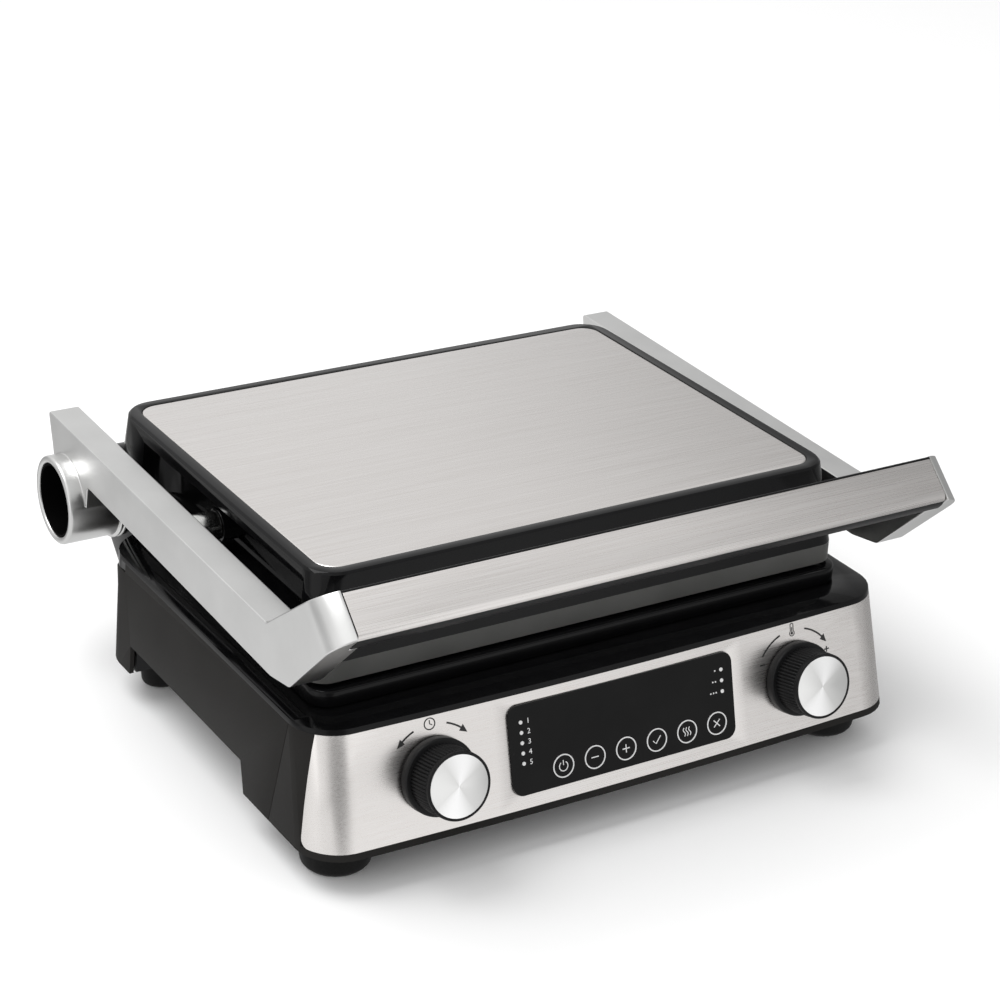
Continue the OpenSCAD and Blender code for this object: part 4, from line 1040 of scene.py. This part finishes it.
def makeArm(side, name, node, spec, bar):
    over, gap = spec["over"], spec["gap"]
    inside, outside = spec["low"] - over, spec["high"] + over
    piece = drawn(name, rounded(spec["plate"]), spec["low"], spec["high"])
    # its front is cut to the cap's curve, along the handle's face
    ring = ([(inside, 0)] + capCurve(spec)
            + [(outside, -spec["back"]), (outside, over), (inside, over)])
    tall = 5 * over
    onBar = onHandle(bar) @ Matrix.Rotation(math.pi / 2, 4, "X")
    combine(piece, put(lofted("front", [(ring, -tall), (ring, tall)]), onBar))
    # the seat that the handle bar's end lies in
    floorOfSeat = -bar["deep"] - gap
    seat = [(inside, floorOfSeat), (spec["seam"], floorOfSeat),
            (spec["seam"], over), (inside, over)]
    low, high = -bar["half"] - gap, bar["half"] + over
    combine(piece, put(lofted("seat", [(seat, -high), (seat, -low)]), onBar))
    atHinge = move(0, *spec["hinge"])
    combine(piece, put(turned("barrel", spec["barrel"], steps=96), atHinge), "UNION")
    blindEnd, mouth = spec["barrel"][-1][0], spec["high"] + 2 * over
    bore = [(blindEnd, 0), (blindEnd, spec["bore"]), (mouth, spec["bore"]), (mouth, 0)]
    combine(piece, put(turned("bore", bore, steps=96), atHinge))
    bevelEdges(piece, spec["edge"], segments=2, angle=24, slotIndex=1, clamp=False)
    coat(piece, "cast_aluminium", "cut_aluminium")
    if side < 0:
        put(piece, Matrix.Scale(-1, 4, (1, 0, 0)))
    finished(piece, "handle_frame", "cast_aluminium", node, angle=22)


makeArm(-1, "leftArmCasting", "left_arm", arms, handleBar)
makeArm(1, "rightArmCasting", "right_arm", arms, handleBar)
print("arms made")


# floor, light and surroundings
keyLight = {
    "place": (-0.9, 0.5, 2.1),
    "aim": (0, 0, 0.1),
    "size": (1.4, 1.4),
    "power": 26,
}


def makeLight(name, spec):
    bpy.ops.object.light_add(type="AREA", location=spec["place"])
    light = bpy.context.object
    light.name = name
    light.data.shape = "RECTANGLE"
    light.data.size, light.data.size_y = spec["size"]
    light.data.energy = spec["power"]
    facing = Vector(spec["place"]) - Vector(spec["aim"])
    light.rotation_euler = facing.to_track_quat("Z", "Y").to_euler()


studio = {
    "floor": 6.0,  # metres square
    # the room's brightness from left to right: (direction's X, brightness)
    "side": ((-0.98, 1.0), (0.3, 0.88), (0.45, 0.86), (0.56, 0.68), (0.64, 0.45), (0.9, 0.4)),
    # patches of the room: direction, cosines of the inner and outer edge, and how much of the light
    # comes from there, more than 1 where it is brighter
    "patches": (((-0.29, -0.95, 0.0), 0.97, 0.88, 0.35), ((-0.98, -0.17, 0.0), 0.97, 0.93, 1.4),
                ((-0.87, 0.5, 0.0), 0.98, 0.94, 0.6), ((-0.2, 0.96, -0.2), 0.975, 0.93, 0.45),
                ((-0.945, 0.22, 0.17), 0.992, 0.975, 0.5), ((0.54, -0.84, -0.1), 0.93, 0.6, 1.35),
                ((0.58, -0.35, 0.73), 0.975, 0.93, 1.35), ((0.37, -0.42, 0.83), 0.985, 0.95, 0.75),
                ((-0.6, -0.33, 0.73), 0.95, 0.88, 1.25)),
}


def surroundings():
    world = bpy.data.worlds.new("studio")
    bpy.context.scene.world = world
    world.use_nodes = True
    tree = world.node_tree
    tree.nodes.clear()
    ray = addNode(tree, "ShaderNodeLightPath")
    coords = addNode(tree, "ShaderNodeTexCoord")
    parts = addNode(tree, "ShaderNodeSeparateXYZ", None, {"Vector": coords.outputs["Generated"]})
    across = addNode(tree, "ShaderNodeMapRange", {"From Min": -1, "From Max": 1},
                     {"Value": parts.outputs["X"]})
    side = addNode(tree, "ShaderNodeValToRGB", None, {"Fac": across.outputs["Result"]})
    side.color_ramp.interpolation = "EASE"
    for place, grey in studio["side"]:
        stop = side.color_ramp.elements.new((place + 1) / 2)
        stop.color = (grey, grey, grey, 1)
    # a ramp starts with two stops of its own, at its ends
    side.color_ramp.elements.remove(side.color_ramp.elements[0])
    side.color_ramp.elements.remove(side.color_ramp.elements[-1])
    shade = side.outputs["Color"]
    for place, inner, outer, share in studio["patches"]:
        away = addNode(tree, "ShaderNodeVectorMath", {"operation": "DOT_PRODUCT", 1: place},
                       {0: coords.outputs["Generated"]})
        patch = addNode(tree, "ShaderNodeMapRange",
                        {"From Min": outer, "From Max": inner, "To Min": 1, "To Max": share,
                         "interpolation_type": "SMOOTHSTEP"}, {"Value": away.outputs["Value"]})
        shade = addNode(tree, "ShaderNodeMath", {"operation": "MULTIPLY"},
                        {0: shade, 1: patch.outputs["Result"]}).outputs["Value"]
    # the camera sees plain white, everything else the room; sockets 2 and 3 are the mix's A and B
    level = addNode(tree, "ShaderNodeMix", {"data_type": "FLOAT", 3: 1.0},
                    {"Factor": ray.outputs["Is Camera Ray"], 2: shade})
    back = addNode(tree, "ShaderNodeBackground", {"Color": (1, 1, 1, 1)},
                   {"Strength": level.outputs["Result"]})
    addNode(tree, "ShaderNodeOutputWorld", None, {"Surface": back.outputs["Background"]})


surroundings()
makeLight("keyLight", keyLight)
bpy.context.scene.view_settings.view_transform = "Standard"

bpy.ops.object.select_all(action="DESELECT")
bpy.ops.mesh.primitive_plane_add(size=studio["floor"])
floor = bpy.context.object
floor.name = "floor"
floorMaterial, floorTree = newMaterial("paleStudioFloor")
finishMaterial(floorTree, {"Base Color": linear("#fcfcfc"), "Roughness": 0.7,
                           "Specular IOR Level": 0.2}, None)
floor.data.materials.append(floorMaterial)
floor.visible_glossy = False
print("studio made")
